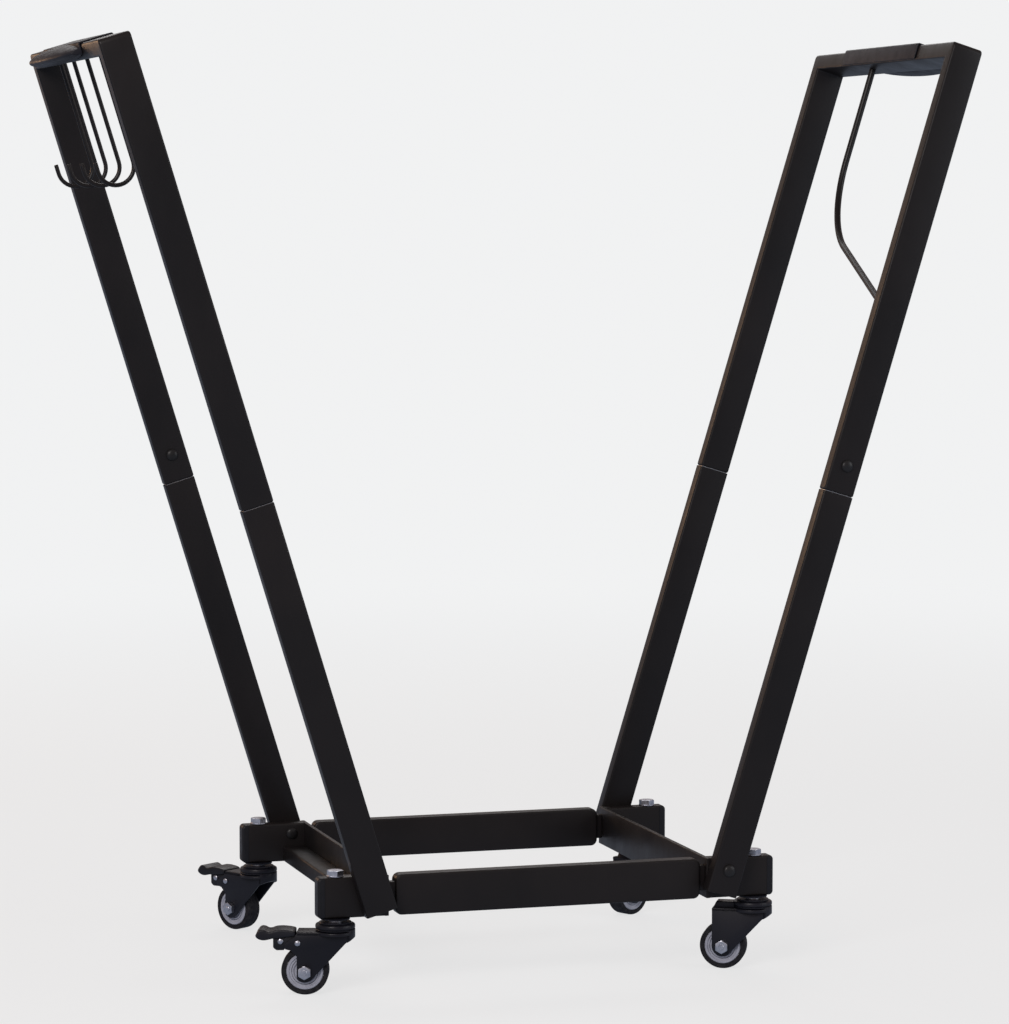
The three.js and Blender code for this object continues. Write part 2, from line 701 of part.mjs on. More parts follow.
function hub() {
  const [bore, half] = [axleRadius + shankFit, wheelWide / 2];
  const [ringIn, ringOut, face] = [0.48 * hubRadius, 0.86 * hubRadius, half - hubFaceDeep];
  return closed(turned([[bore, -half], [ringIn, -half], [ringIn + 1, -face], [ringOut, -face],
    [ringOut + 1, -half + 0.5], [hubRadius, -half + 0.5], [hubRadius, half - 0.5],
    [ringOut + 1, half - 0.5], [ringOut, face], [ringIn + 1, face], [ringIn, half],
    [bore, half], [bore, -half]], 24));
}

function tyre() {
  const [inner, half, shoulder] = [wheelRadius - tyreThick, wheelWide / 2 - 0.5, 2.4];
  return closed(turned([[inner, -half], [wheelRadius - 1.2, -half],
    [wheelRadius, -half + shoulder], [wheelRadius, half - shoulder],
    [wheelRadius - 1.2, half], [inner, half], [inner, -half]], 40));
}

// A pin along Y with a domed head at each end, its heads resting on faces at +-seat.
function rivet(radius, seat) {
  const side = [[rivetHeadRadius, seat + fit], [rivetHeadRadius, seat + fit + 0.5],
    [0.7 * rivetHeadRadius, seat + fit + 0.85 * rivetHeadTall], [0, seat + fit + rivetHeadTall]];
  const shank = [[radius, seat + fit]];
  const mirror = (points) => points.map(([r, y]) => [r, -y]).reverse();
  return closed(turned([...mirror(side), ...mirror(shank), ...shank, ...side], 10));
}

// Pedal: two cheeks between the fork plates, a foot pad over them and a shoe that comes
// down on the tyre when the pad is pressed.
function brakePedal() {
  const cheekOuter = forkInside / 2 - brakeCheekGap;
  const [px, pz] = [brakePivotX, brakePivotHeight];
  const aboutPivot = (points) => polygon(points.map(([x, z]) => [px + x, pz + z]));
  const cheekShape = aboutPivot([[-5.5, -1], [-3, -5], [4, -5.4], [12, -4], [16, -8.8],
    [24, -9], [28.3, -5.6], [28.3, 5], [2, 8.2], [-4.5, 4]]);
  const cheeks = [-1, 1].map((way) => solid(prismY(cheekShape,
    way * (cheekOuter - brakeCheekThick / 2) - brakeCheekThick / 2,
    way * (cheekOuter - brakeCheekThick / 2) + brakeCheekThick / 2)));
  const padShape = aboutPivot([[3, 8.4], [3, 12.5], [5.5, 14], [13.5, 15.2], [21.5, 15.4],
    [27.5, 14.4], [32, 13], [35.5, 13.6], [39.5, 15.3], [43, 15.2], [46, 12.5], [48.5, 8.5],
    [47, 5.3], [41.5, 3], [35.5, 3.2], [30, 4.6], [17.5, 6.2], [5.5, 7.8]]);
  const pad = solid(prismY(padShape, -brakePadWide / 2, brakePadWide / 2));
  const shoeShape = aboutPivot([[2.5, -5.8], [10.5, -8.5], [13.5, -5.5], [12, 1.4],
    [3.5, 1.4]]);
  const shoe = solid(prismY(shoeShape, -cheekOuter + 1, cheekOuter - 1));
  const post = block([px + 4, px + 12], [-cheekOuter + 1, cheekOuter - 1], [pz, pz + 9]);
  const holes = [holeY(brakePinRadius + shankFit, px, [-forkOuter, forkOuter], pz),
    holeY(brakeRivetRadius + shankFit, brakeRivetX, [-forkOuter, forkOuter],
      brakeRivetHeight)];
  return surface(cut(join([...cheeks, pad, shoe, post]), holes));
}

function caster(corner) {
  const place = corner.name;
  const group = new THREE.Group();
  group.position.set(corner.x * casterX, corner.y * outriggerMiddleY, 0);
  group.add(mesh(`caster_stem_${place}`, stem(), zincSteel));
  const swivel = new THREE.Group();
  swivel.rotation.z = corner.trail * DEGREE;
  swivel.add(mesh(`caster_fork_${place}`, fork(corner.brake), blackSteel));
  const wheelPieces = [
    mesh(`wheel_axle_${place}`, axleBolt(), zincSteel),
    mesh(`wheel_hub_${place}`, hub(), greyPlastic),
    mesh(`tyre_${place}`, tyre(), blackRubber),
  ];
  for (const piece of wheelPieces) {
    piece.position.set(casterTrail, 0, wheelRadius);
    swivel.add(piece);
  }
  if (corner.brake) {
    swivel.add(mesh(`brake_pedal_${place}`, brakePedal(), blackPlastic));
    const pin = mesh(`brake_pin_${place}`, rivet(brakePinRadius, forkOuter), zincSteel);
    pin.position.set(brakePivotX, 0, brakePivotHeight);
    const cheekOuter = forkInside / 2 - brakeCheekGap;
    const stud = mesh(`brake_rivet_${place}`, rivet(brakeRivetRadius, cheekOuter), zincSteel);
    stud.position.set(brakeRivetX, 0, brakeRivetHeight);
    swivel.add(pin, stud);
  }
  group.add(swivel);
  return group;
}

// ---------------------------------------------------------------- the whole cart

const pieces = new THREE.Group();
pieces.add(sideFrame("left", -1, false), sideFrame("right", 1, true), base());
for (const corner of corners) pieces.add(caster(corner));

// The origin lies on the floor under the middle of the cart's overall box.
const reach = new THREE.Box3().setFromObject(pieces, true);
pieces.position.set(-(reach.min.x + reach.max.x) / 2, -(reach.min.y + reach.max.y) / 2, 0);

const cart = new THREE.Group();
cart.add(pieces);

export default cart;
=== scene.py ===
"""Fireside log cart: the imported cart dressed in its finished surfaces, with floor, light, camera.

Lengths are millimetres and are scaled to metres where they meet Blender. A side frame is
modelled upright and then leaned outward; a caster is modelled with its wheel trailing
toward +X and then turned as each corner of the cart holds it.
"""

import json
from math import atan2, cos, pi, radians, sin, sqrt, tan

import bpy
from mathutils import Matrix, Vector


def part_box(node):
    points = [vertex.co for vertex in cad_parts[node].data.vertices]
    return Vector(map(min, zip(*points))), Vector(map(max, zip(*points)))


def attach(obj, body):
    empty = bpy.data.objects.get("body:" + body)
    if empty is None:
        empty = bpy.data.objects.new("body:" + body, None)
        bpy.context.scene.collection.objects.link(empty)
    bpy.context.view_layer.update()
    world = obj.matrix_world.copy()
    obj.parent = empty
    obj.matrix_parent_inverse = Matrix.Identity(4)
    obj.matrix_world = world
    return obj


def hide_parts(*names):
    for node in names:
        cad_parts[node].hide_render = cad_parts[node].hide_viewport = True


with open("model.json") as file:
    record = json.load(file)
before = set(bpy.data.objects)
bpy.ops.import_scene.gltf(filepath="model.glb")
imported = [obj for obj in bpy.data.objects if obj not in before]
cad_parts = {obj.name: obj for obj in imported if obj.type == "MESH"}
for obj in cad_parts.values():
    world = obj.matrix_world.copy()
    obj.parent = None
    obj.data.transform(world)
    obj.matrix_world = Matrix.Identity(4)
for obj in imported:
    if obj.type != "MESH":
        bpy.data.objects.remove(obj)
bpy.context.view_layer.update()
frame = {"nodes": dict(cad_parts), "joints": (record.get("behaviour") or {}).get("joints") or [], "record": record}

MM = 0.001
DEGREE = pi / 180

# ---------------------------------------------------------------- sizes

# Side frames, measured in the leaning plane along a post, from floor level
FRAME_LEAN = 17 * DEGREE
FRAME_FOOT = 177.3
FRAME_TOP = 1141.8
FRAME_SEAM = 591.3
FRAME_END = 99.8
CART_DEPTH = 446
POST_WIDE = 38
POST_DEEP = 19
TUBE_WALL = 1.5
TUBE_ROUND = 2.5
BAR_CORNER_ROUND = 6
SEAM_GAP = 0.6
SOCKET_DEEP = 60
FOOT_EDGE = 0.5

# Everywhere: the clearance between pieces, how far the shapes of one piece run into each
# other, and the rounding of small corners
FIT = 0.3
OVERLAP = 1
SOFT_EDGE = 0.8

# Domed bolts
BOLT_HEAD = 7
BOLT_HEAD_TALL = 4
BOLT_SHANK = 3
BOLT_SHANK_LONG = 10
JOINT_BOLT_RISE = 34
FOOT_BOLT_HEIGHT = 123.6

# Base
BASE_LOW = 88.6
BASE_TALL = 47.5
BASE_REACH = 278
SIDE_PLATE_INNER = 194
SIDE_PLATE_THICK = 5
LEDGE_WIDE = 27
LEDGE_TALL = 19
OUTRIGGER_DEEP = 19
CAP_FLANGE = 8
CAP_PLUG = 7
CAP_PLUG_INSET = 2
CAP_ROUND = 5
RAIL_HALF = 186
RAIL_ROUND = 8
TONGUE_TALL = 30
TONGUE_DEEP = 12
TONGUE_ROUND = 1.5

# Hand bar grips
GRIP_LONG = 232
GRIP_WALL = 1.8
GRIP_REACH = 36
GRIP_ROLL_TALL = 20.5
GRIP_BOW = 124
GRIP_LIP = 14
GRIP_SKIRT = 1
GRIP_EDGE = 0.7
GRIP_ROLL_EDGE = 1.6

# Rods
HOOK_PITCH = 84
HOOK_ROD = 5
HOOK_DROP = 124
HOOK_BEND = 21
HOOK_TIP = 11
HOOK_TIP_ROUND = 0.7
HOOK_OFFSET = 2.5
HOOKS = 4
BOW_ROD = 8
BOW_TOP_BACK = 61
BOW_LEG = 117
BOW_BEND = 123
BOW_TURN = 68 * DEGREE

# Casters, heights above the floor
WHEEL = 27.4
WHEEL_WIDE = 22
HUB_BOSS = 10
HUB_RIM = 17.6
HUB_SUNK = 1.5
HUB_GROOVE_DEEP = 2
HUB_GROOVES = ((12.4, 0.7), (15.2, 0.4))
TYRE_THICK = 5.7
TYRE_INSET = 0.4
TRAIL = 34.5
FORK_INSIDE = 24.6
FORK_PLATE = 2.5
FORK_TOP = 73.6
FORK_ROOF = 3.7
FORK_ROOF_ROUND = 1.3
FORK_EDGE = 0.5
CROWN = 23
CROWN_TALL = 8.4
SKIRT_LOW = 66.5
SKIRT_RISE = 0.58
SKIRT_IN_CROWN = 1.9
RACE = 19
RACE_NECK = 8.5
RACE_TALL = 1.7
RACE_FLANGE = 17
RACE_FLANGE_TALL = 1.5
STEM = 5
STEM_HEAD_FLATS = 17
STEM_HEAD_TALL = 7
STEM_HEAD_CHAMFER = 1.6
WASHER = 10
WASHER_THICK = 1
STEM_FOOT = 8.5
AXLE = 4
AXLE_HEAD_FLATS = 14
AXLE_HEAD_TALL = 5.5
AXLE_HEAD_CHAMFER = 1.2
FORK_BOSS = 12.2
BRAKE_FORK_REACH = 9
BRIDGE_TALL = 6.8
BRIDGE_WIDE = 18
BRIDGE_SLOPE = 4.5
BRIDGE_ROUND = 1.5
PIVOT_OUT = 42.5
PIVOT_HEIGHT = 61
PIVOT_PIN = 2.5
RIVET_OUT = 62.3
RIVET_HEIGHT = 62.6
RIVET_PIN = 2
RIVET_HEAD = 3.5
RIVET_HEAD_TALL = 2
RIVET_HEAD_EDGE = 0.4
CHEEK_THICK = 2
CHEEK_GAP = 0.7
CHEEK_EDGE = 0.45
PAD_WIDE = 31
PAD_ROUND = 2

# Picking faces and edges, in mm: near a plane, and at the same place. STRAIGHT is how
# closely a face looks along an axis, where 1 is exactly.
NEAR = 1
SAME = 0.01
STRAIGHT = 0.9

BASE_HIGH = BASE_LOW + BASE_TALL
BASE_MIDDLE = BASE_LOW + BASE_TALL / 2
BAR_LOW = FRAME_TOP - POST_DEEP
POST_INNER = CART_DEPTH / 2 - POST_DEEP
OUTRIGGER_OUTER = POST_INNER - FIT
OUTRIGGER_INNER = OUTRIGGER_OUTER - OUTRIGGER_DEEP
OUTRIGGER_MIDDLE = (OUTRIGGER_OUTER + OUTRIGGER_INNER) / 2
SIDE_PLATE_OUTER = SIDE_PLATE_INNER + SIDE_PLATE_THICK
FORK_OUTER = FORK_INSIDE / 2 + FORK_PLATE
CROWN_HIGH = FORK_TOP + CROWN_TALL
CHEEK_OUTER = FORK_INSIDE / 2 - CHEEK_GAP

# The frame says where the cart's own middle lies, and which way each caster stands.
front_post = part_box("lower_post_front_left")
rear_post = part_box("lower_post_rear_left")
CART_MIDDLE = (front_post[0].y + rear_post[1].y) / 2 / MM
JOINTS = {joint["name"]: joint for joint in frame["joints"]}
BODY_OF = {node: body for body, nodes in frame["record"]["behaviour"]["bodies"].items()
           for node in nodes}
SLOT_OF = {part["node"]: part["material_slot"] for part in frame["record"]["subparts"]}
CORNERS = ("front_left", "front_right", "rear_left", "rear_right")
# The two ways along X and along Y
SIDES = ((-1, "left"), (1, "right"))
ENDS = ((-1, "front"), (1, "rear"))

# ---------------------------------------------------------------- modelling tools


def let_go():
    bpy.ops.object.select_all(action="DESELECT")


def take(piece):
    """Makes this the one selected piece."""
    let_go()
    piece.select_set(True)
    bpy.context.view_layer.objects.active = piece


def new_piece(name):
    """Names the primitive just added and settles its place into its mesh."""
    piece = bpy.context.object
    piece.name = name
    piece.data.name = name
    take(piece)
    bpy.ops.object.transform_apply(location=True, rotation=True, scale=True)
    return piece


def settle(piece, matrix):
    """Moves a finished shape by a matrix in millimetres and keeps its object at the origin."""
    take(piece)
    moved = matrix.copy()
    moved.translation = matrix.translation * MM
    piece.matrix_world = moved
    bpy.ops.object.transform_apply(location=True, rotation=True, scale=True)


def copy_of(piece, name):
    copy = piece.copy()
    copy.data = piece.data.copy()
    copy.name = name
    copy.data.name = name
    bpy.context.scene.collection.objects.link(copy)
    return copy


def edit(piece, mode="FACE"):
    """Opens edit mode with everything selected."""
    take(piece)
    bpy.ops.object.mode_set(mode="EDIT")
    bpy.ops.mesh.select_mode(type=mode)
    bpy.ops.mesh.select_all(action="SELECT")


def close():
    """Leaves edit mode with every face turned outward."""
    bpy.ops.mesh.select_all(action="SELECT")
    bpy.ops.mesh.remove_doubles(threshold=0.001 * MM)
    bpy.ops.mesh.normals_make_consistent(inside=False)
    bpy.ops.object.mode_set(mode="OBJECT")


def pick_faces(piece, wanted):
    """Selects the faces whose middle (mm) and normal pass, and opens edit mode."""
    edit(piece)
    bpy.ops.mesh.select_all(action="DESELECT")
    bpy.ops.object.mode_set(mode="OBJECT")
    for face in piece.data.polygons:
        face.select = wanted(face.center / MM, face.normal)
    bpy.ops.object.mode_set(mode="EDIT")


def pick_edges(piece, wanted):
    """Selects the edges whose two ends (mm) pass, and opens edit mode."""
    edit(piece, "EDGE")
    bpy.ops.mesh.select_all(action="DESELECT")
    bpy.ops.object.mode_set(mode="OBJECT")
    points = [vertex.co / MM for vertex in piece.data.vertices]
    for edge in piece.data.edges:
        edge.select = wanted(*(points[i] for i in edge.vertices))
    bpy.ops.object.mode_set(mode="EDIT")


def extrude(x=0, y=0, z=0):
    bpy.ops.mesh.extrude_region_move(
        TRANSFORM_OT_translate={"value": (x * MM, y * MM, z * MM)})


def bevel_picked(width, segments=3):
    bpy.ops.mesh.bevel(offset=width * MM, segments=segments, affect="EDGES",
                       clamp_overlap=True)


def apply_modifiers(piece):
    take(piece)
    for modifier in list(piece.modifiers):
        bpy.ops.object.modifier_apply(modifier=modifier.name)


def soften(piece, width, segments=2, angle=35):
    """Rounds every edge sharper than the angle."""
    bevel = piece.modifiers.new("soft_edges", "BEVEL")
    bevel.width = width * MM
    bevel.segments = segments
    bevel.limit_method = "ANGLE"
    bevel.angle_limit = radians(angle)
    bevel.use_clamp_overlap = True
    apply_modifiers(piece)


def smooth(piece, angle):
    take(piece)
    bpy.ops.object.shade_smooth_by_angle(angle=radians(angle))


def join(name, pieces):
    let_go()
    for piece in pieces:
        piece.select_set(True)
    bpy.context.view_layer.objects.active = pieces[0]
    bpy.ops.object.join()
    pieces[0].name = name
    pieces[0].data.name = name
    return pieces[0]


def block(name, low, high):
    middle = (Vector(low) + Vector(high)) / 2
    size = Vector(high) - Vector(low)
    bpy.ops.mesh.primitive_cube_add(size=1, location=middle * MM, scale=size * MM)
    return new_piece(name)


def turned(name, rings, sides=48, ring_shaped=False):
    """Turned about +Z from (radius, height) rings. A ring-shaped piece ends where it began."""
    (radius, height), *others = rings
    bpy.ops.mesh.primitive_circle_add(
        vertices=sides, radius=radius * MM, location=(0, 0, height * MM),
        fill_type="NOTHING" if ring_shaped else "NGON")
    piece = new_piece(name)
    edit(piece, "EDGE" if ring_shaped else "FACE")
    for next_radius, next_height in others:
        extrude(z=next_height - height)
        grow = next_radius / radius
        bpy.ops.transform.resize(value=(grow, grow, 1),
                                 center_override=(0, 0, next_height * MM))
        radius, height = next_radius, next_height
    close()
    return piece


def traced(name, outline, across, low, high):
    """A plate cut to an outline, from (horizontal, height) points, as thick as low to high.

    The outline lies in the X-Z plane and the thickness runs along Y, or for across="Z" the
    outline lies in the X-Y plane and the thickness runs along Z.
    """
    def place(point, level):
        return (point[0], level, point[1]) if across == "Y" else (point[0], point[1], level)

    start = Vector(place(outline[0], low))
    bpy.ops.mesh.primitive_plane_add(size=MM, location=start * MM)
    piece = new_piece(name)
    edit(piece, "VERT")
    bpy.ops.mesh.merge(type="CENTER")
    for before, after in zip(outline, list(outline[1:]) + [outline[0]]):
        step = Vector(place(after, 0)) - Vector(place(before, 0))
        bpy.ops.mesh.extrude_vertices_move(TRANSFORM_OT_translate={"value": step * MM})
    bpy.ops.mesh.select_all(action="SELECT")
    bpy.ops.mesh.remove_doubles(threshold=0.01 * MM)
    bpy.ops.mesh.edge_face_add()
    thick = high - low
    extrude(y=thick if across == "Y" else 0, z=thick if across == "Z" else 0)
    close()
    return piece


def cut_off(piece, cuts):
    """Cuts away what lies past each plane, given by a point (mm) and its outward normal."""
    for place, normal in cuts:
        edit(piece)
        bpy.ops.mesh.bisect(plane_co=Vector(place) * MM, plane_no=normal, clear_outer=True,
                            use_fill=True)
        close()


def discard(*patterns):
    for pattern in patterns:
        bpy.data.objects.remove(pattern)


def arc(centre, radius, start, end, steps):
    """Points round an arc, angles in degrees."""
    turns = [radians(start + (end - start) * i / steps) for i in range(steps + 1)]
    return [(centre[0] + radius * cos(t), centre[1] + radius * sin(t)) for t in turns]


# ---------------------------------------------------------------- finishes

COAT_SPECULAR = 0.25
STEEL_DARK = (0.0078, 0.0068, 0.0071)
STEEL_LIGHT = (0.0138, 0.0112, 0.011)
CASTER_DARK = (0.0075, 0.0078, 0.0118)
CASTER_LIGHT = (0.0118, 0.0122, 0.018)


class Finish:
    """A material and its node tree, with patterns read from Object coordinates."""

    def __init__(self, name, color, roughness, metallic=0.0, specular=0.5):
        self.material = bpy.data.materials.new(name)
        self.material.use_nodes = True
        self.material.diffuse_color = (*color, 1)
        self.nodes = self.material.node_tree.nodes
        self.links = self.material.node_tree.links
        self.shader = self.nodes["Principled BSDF"]
        self.shader.inputs["Base Color"].default_value = (*color, 1)
        self.shader.inputs["Roughness"].default_value = roughness
        self.shader.inputs["Metallic"].default_value = metallic
        self.shader.inputs["Specular IOR Level"].default_value = specular
        self.coordinates = self.nodes.new("ShaderNodeTexCoord").outputs["Object"]

    def stretched(self, scale):
        mapping = self.nodes.new("ShaderNodeMapping")
        mapping.inputs["Scale"].default_value = scale
        self.links.new(self.coordinates, mapping.inputs["Vector"])
        return mapping.outputs["Vector"]

    def noise(self, scale, detail=3.0, roughness=0.55, vector=None):
        noise = self.nodes.new("ShaderNodeTexNoise")
        noise.inputs["Scale"].default_value = scale
        noise.inputs["Detail"].default_value = detail
        noise.inputs["Roughness"].default_value = roughness
        self.links.new(vector or self.coordinates, noise.inputs["Vector"])
        return noise.outputs["Fac"]

    def spread(self, value, low, high, from_low=0.3, from_high=0.7):
        spread = self.nodes.new("ShaderNodeMapRange")
        spread.inputs["From Min"].default_value = from_low
        spread.inputs["From Max"].default_value = from_high
        spread.inputs["To Min"].default_value = low
        spread.inputs["To Max"].default_value = high
        self.links.new(value, spread.inputs["Value"])
        return spread.outputs["Result"]

    def blend_color(self, factor, first, second):
        mix = self.nodes.new("ShaderNodeMix")
        mix.data_type = "RGBA"
        colors = [socket for socket in mix.inputs if socket.type == "RGBA"]
        for socket, color in zip(colors, (first, second)):
            socket.default_value = (*color, 1)
        self.links.new(factor, mix.inputs["Factor"])
        return next(socket for socket in mix.outputs if socket.type == "RGBA")

    def color(self, value):
        self.links.new(value, self.shader.inputs["Base Color"])

    def roughness(self, value):
        self.links.new(value, self.shader.inputs["Roughness"])

    def bump(self, height, depth, strength=1.0, under=None):
        bump = self.nodes.new("ShaderNodeBump")
        bump.inputs["Strength"].default_value = strength
        bump.inputs["Distance"].default_value = depth * MM
        self.links.new(height, bump.inputs["Height"])
        if under:
            self.links.new(under, bump.inputs["Normal"])
        self.links.new(bump.outputs["Normal"], self.shader.inputs["Normal"])
        return bump.outputs["Normal"]


def powder_coat(name, dark, light, low_gloss=0.36, high_gloss=0.5, grain=1.0):
    """Satin powder coat: a slow shift of tone, faint orange peel and a few dull rubs."""
    finish = Finish(name, dark, low_gloss, specular=COAT_SPECULAR)
    tone = finish.spread(finish.noise(5, 3), 0, 1)
    finish.color(finish.blend_color(tone, dark, light))
    rubs = finish.noise(28, 5, 0.65, finish.stretched((1, 1, 0.35)))
    finish.roughness(finish.spread(rubs, low_gloss, high_gloss))
    peel = finish.bump(finish.noise(420, 2, 0.4), 0.05, 0.35 * grain)
    finish.bump(finish.noise(2600, 2, 0.6), 0.012, 0.3 * grain, under=peel)
    return finish.material


def grip_plastic():
    """Matte moulded grip with a fine even grain."""
    finish = Finish("grip_plastic", (0.014, 0.0145, 0.02), 0.5, specular=COAT_SPECULAR)
    tone = finish.spread(finish.noise(14, 2), 0, 1)
    finish.color(finish.blend_color(tone, (0.012, 0.0122, 0.0168), (0.02, 0.0205, 0.0275)))
    finish.roughness(finish.spread(finish.noise(60, 4), 0.46, 0.62))
    finish.bump(finish.noise(1900, 2, 0.5), 0.03, 0.4)
    return finish.material


def moulded_black(name, tone, roughness):
    """Satin black moulding, a little uneven in tone and gloss."""
    finish = Finish(name, tone, roughness, specular=COAT_SPECULAR)
    finish.roughness(finish.spread(finish.noise(90, 4), roughness - 0.07, roughness + 0.09))
    lighter = tuple(1.6 * channel for channel in tone)
    finish.color(finish.blend_color(finish.spread(finish.noise(35, 3), 0, 1), tone, lighter))
    finish.bump(finish.noise(2400, 2), 0.02, 0.4)
    return finish.material


def zinc_plate():
    """Bright zinc: faint clouding and fine handling scratches."""
    finish = Finish("zinc_plate", (0.5, 0.51, 0.57), 0.3, metallic=1.0)
    clouds = finish.spread(finish.noise(120, 4), 0, 1)
    finish.color(finish.blend_color(clouds, (0.42, 0.435, 0.49), (0.58, 0.595, 0.65)))
    finish.roughness(finish.spread(finish.noise(240, 5, 0.7), 0.26, 0.44))
    scratches = finish.noise(900, 3, 0.6, finish.stretched((1, 0.08, 0.3)))
    finish.bump(scratches, 0.01, 0.35)
    return finish.material


def bare_steel():
    """Drawn steel: fine marks along the sleeve."""
    finish = Finish("bare_steel", (0.42, 0.42, 0.43), 0.4, metallic=1.0)
    drawn = finish.noise(700, 3, 0.6, finish.stretched((1, 1, 0.05)))
    finish.roughness(finish.spread(drawn, 0.3, 0.5))
    finish.bump(drawn, 0.01, 0.3)
    return finish.material


def hub_plastic():
    """Light-grey moulded hub, slightly soiled."""
    finish = Finish("hub_plastic", (0.38, 0.395, 0.455), 0.42, specular=0.4)
    soil = finish.spread(finish.noise(90, 5, 0.65), 0, 1, 0.35, 0.75)
    finish.color(finish.blend_color(soil, (0.42, 0.435, 0.5), (0.29, 0.3, 0.35)))
    finish.roughness(finish.spread(finish.noise(200, 3), 0.36, 0.5))
    finish.bump(finish.noise(1400, 2), 0.015, 0.35)
    return finish.material


def tyre_rubber():
    """Dark rubber with a dusty, slightly pitted running band."""
    finish = Finish("tyre_rubber", (0.012, 0.012, 0.015), 0.7, specular=0.2)
    dust = finish.spread(finish.noise(160, 6, 0.7), 0, 1, 0.45, 0.75)
    finish.color(finish.blend_color(dust, (0.01, 0.01, 0.013), (0.032, 0.031, 0.032)))
    finish.roughness(finish.spread(finish.noise(260, 4), 0.6, 0.85))
    finish.bump(finish.noise(1500, 4, 0.6), 0.05, 0.5)
    return finish.material


FINISHES = {
    "frame_tube": powder_coat("frame_powder_coat", STEEL_DARK, STEEL_LIGHT),
    "hook_rod": powder_coat("rod_powder_coat", STEEL_DARK, STEEL_LIGHT, 0.3, 0.42, 0.3),
    "grip": grip_plastic(),
    "end_cap": moulded_black("end_cap_plastic", (0.0074, 0.0076, 0.0096), 0.45),
    "spigot": bare_steel(),
    "domed_bolt": powder_coat("bolt_black_oxide", (0.0095, 0.0093, 0.0098),
                              (0.019, 0.0188, 0.0196), 0.28, 0.4),
    "caster_fork": powder_coat("fork_black_coat", CASTER_DARK, CASTER_LIGHT, 0.3, 0.45),
    "bright_hardware": zinc_plate(),
    "wheel_hub": hub_plastic(),
    "tyre": tyre_rubber(),
    "brake_pedal": moulded_black("pedal_plastic", (0.0085, 0.009, 0.0122), 0.4),
}


def dress(piece, node, soft_angle=32, name=None, slot=None):
    """This finished piece takes the node's place, on the node's body and in its finish."""
    slot = slot or SLOT_OF[node]
    piece.name = f"{name or node}_finished"
    piece.data.name = piece.name
    smooth(piece, soft_angle)
    piece.data.materials.clear()
    piece.data.materials.append(FINISHES[slot])
    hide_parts(node)
    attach(piece, BODY_OF[node])


def dress_copy(pattern, node, place, **finish):
    """Dresses a copy of the pattern, moved to its place, as the node."""
    piece = copy_of(pattern, node)
    settle(piece, place)
    dress(piece, node, **finish)


def side_turn(side):
    """Shapes are made for the right side; the left one is turned half round."""
    return Matrix.Rotation(0 if side == "right" else pi, 4, "Z")


# ---------------------------------------------------------------- side frames


def frame_place(side):
    """Leans an upright shape into a side frame."""
    middle = Matrix.Translation((0, CART_MIDDLE, 0))
    lean = Matrix.Rotation(FRAME_LEAN, 4, "Y")
    return middle @ side_turn(side) @ Matrix.Translation((FRAME_FOOT, 0, 0)) @ lean


def upper_frame():
    """Hand bar and two upper posts, hollow from their cut ends."""
    seam = FRAME_SEAM + SEAM_GAP / 2
    half = CART_DEPTH / 2
    piece = block("upper_frame", (-POST_WIDE / 2, -half, BAR_LOW),
                  (POST_WIDE / 2, half, FRAME_TOP))
    for y in (-POST_INNER, POST_INNER):
        edit(piece)
        bpy.ops.mesh.bisect(plane_co=(0, y * MM, 0), plane_no=(0, 1, 0))
        bpy.ops.object.mode_set(mode="OBJECT")
    pick_faces(piece, lambda middle, normal: normal.z < -STRAIGHT
               and abs(middle.y) > POST_INNER)
    extrude(z=seam - BAR_LOW)
    close()
    pick_edges(piece, lambda a, b: min(a.z, b.z) > FRAME_TOP - NEAR
               and min(abs(a.y), abs(b.y)) > half - NEAR and abs(a.y - b.y) < NEAR)
    bevel_picked(BAR_CORNER_ROUND, 6)
    close()
    edit(piece, "EDGE")
    bpy.ops.mesh.select_all(action="DESELECT")
    bpy.ops.mesh.edges_select_sharp(sharpness=radians(40))
    bpy.ops.object.mode_set(mode="OBJECT")
    points = [vertex.co / MM for vertex in piece.data.vertices]
    for edge in piece.data.edges:
        if all(points[i].z < seam + NEAR for i in edge.vertices):
            edge.select = False
    bpy.ops.object.mode_set(mode="EDIT")
    bevel_picked(TUBE_ROUND, 4)
    close()
    pick_faces(piece, lambda middle, normal: normal.z < -STRAIGHT and middle.z < seam + NEAR)
    bpy.ops.mesh.inset(thickness=TUBE_WALL * MM, depth=0)
    extrude(z=SOCKET_DEEP)
    close()
    return piece


def lower_post():
    """One lower post, hollow from its top and closed at its square foot."""
    seam = FRAME_SEAM - SEAM_GAP / 2
    piece = block("lower_post", (-POST_WIDE / 2, -POST_DEEP / 2, FRAME_END),
                  (POST_WIDE / 2, POST_DEEP / 2, seam))
    pick_edges(piece, lambda a, b: abs(a.z - b.z) > POST_WIDE)
    bevel_picked(TUBE_ROUND, 4)
    close()
    pick_edges(piece, lambda a, b: max(a.z, b.z) < FRAME_END + NEAR)
    bevel_picked(FOOT_EDGE, 2)
    close()
    pick_faces(piece, lambda middle, normal: normal.z > STRAIGHT and middle.z > seam - NEAR)
    bpy.ops.mesh.inset(thickness=TUBE_WALL * MM, depth=0)
    extrude(z=-SOCKET_DEEP)
    close()
    return piece


def domed_bolt():
    """Seat at height 0, dome upward, shank downward."""
    edge = 0.25 * BOLT_HEAD_TALL
    dome = [(BOLT_HEAD * cos(radians(a)), edge + (BOLT_HEAD_TALL - edge) * sin(radians(a)))
            for a in (0, 12, 24, 36, 48, 60, 72, 81)]
    return turned("domed_bolt", [(BOLT_SHANK, -BOLT_SHANK_LONG), (BOLT_SHANK, 0),
                                 (BOLT_HEAD, 0), *dome], 32)


def facing_y(way):
    """Turns +Z to +Y or -Y."""
    return Matrix.Rotation(-way * pi / 2, 4, "X")


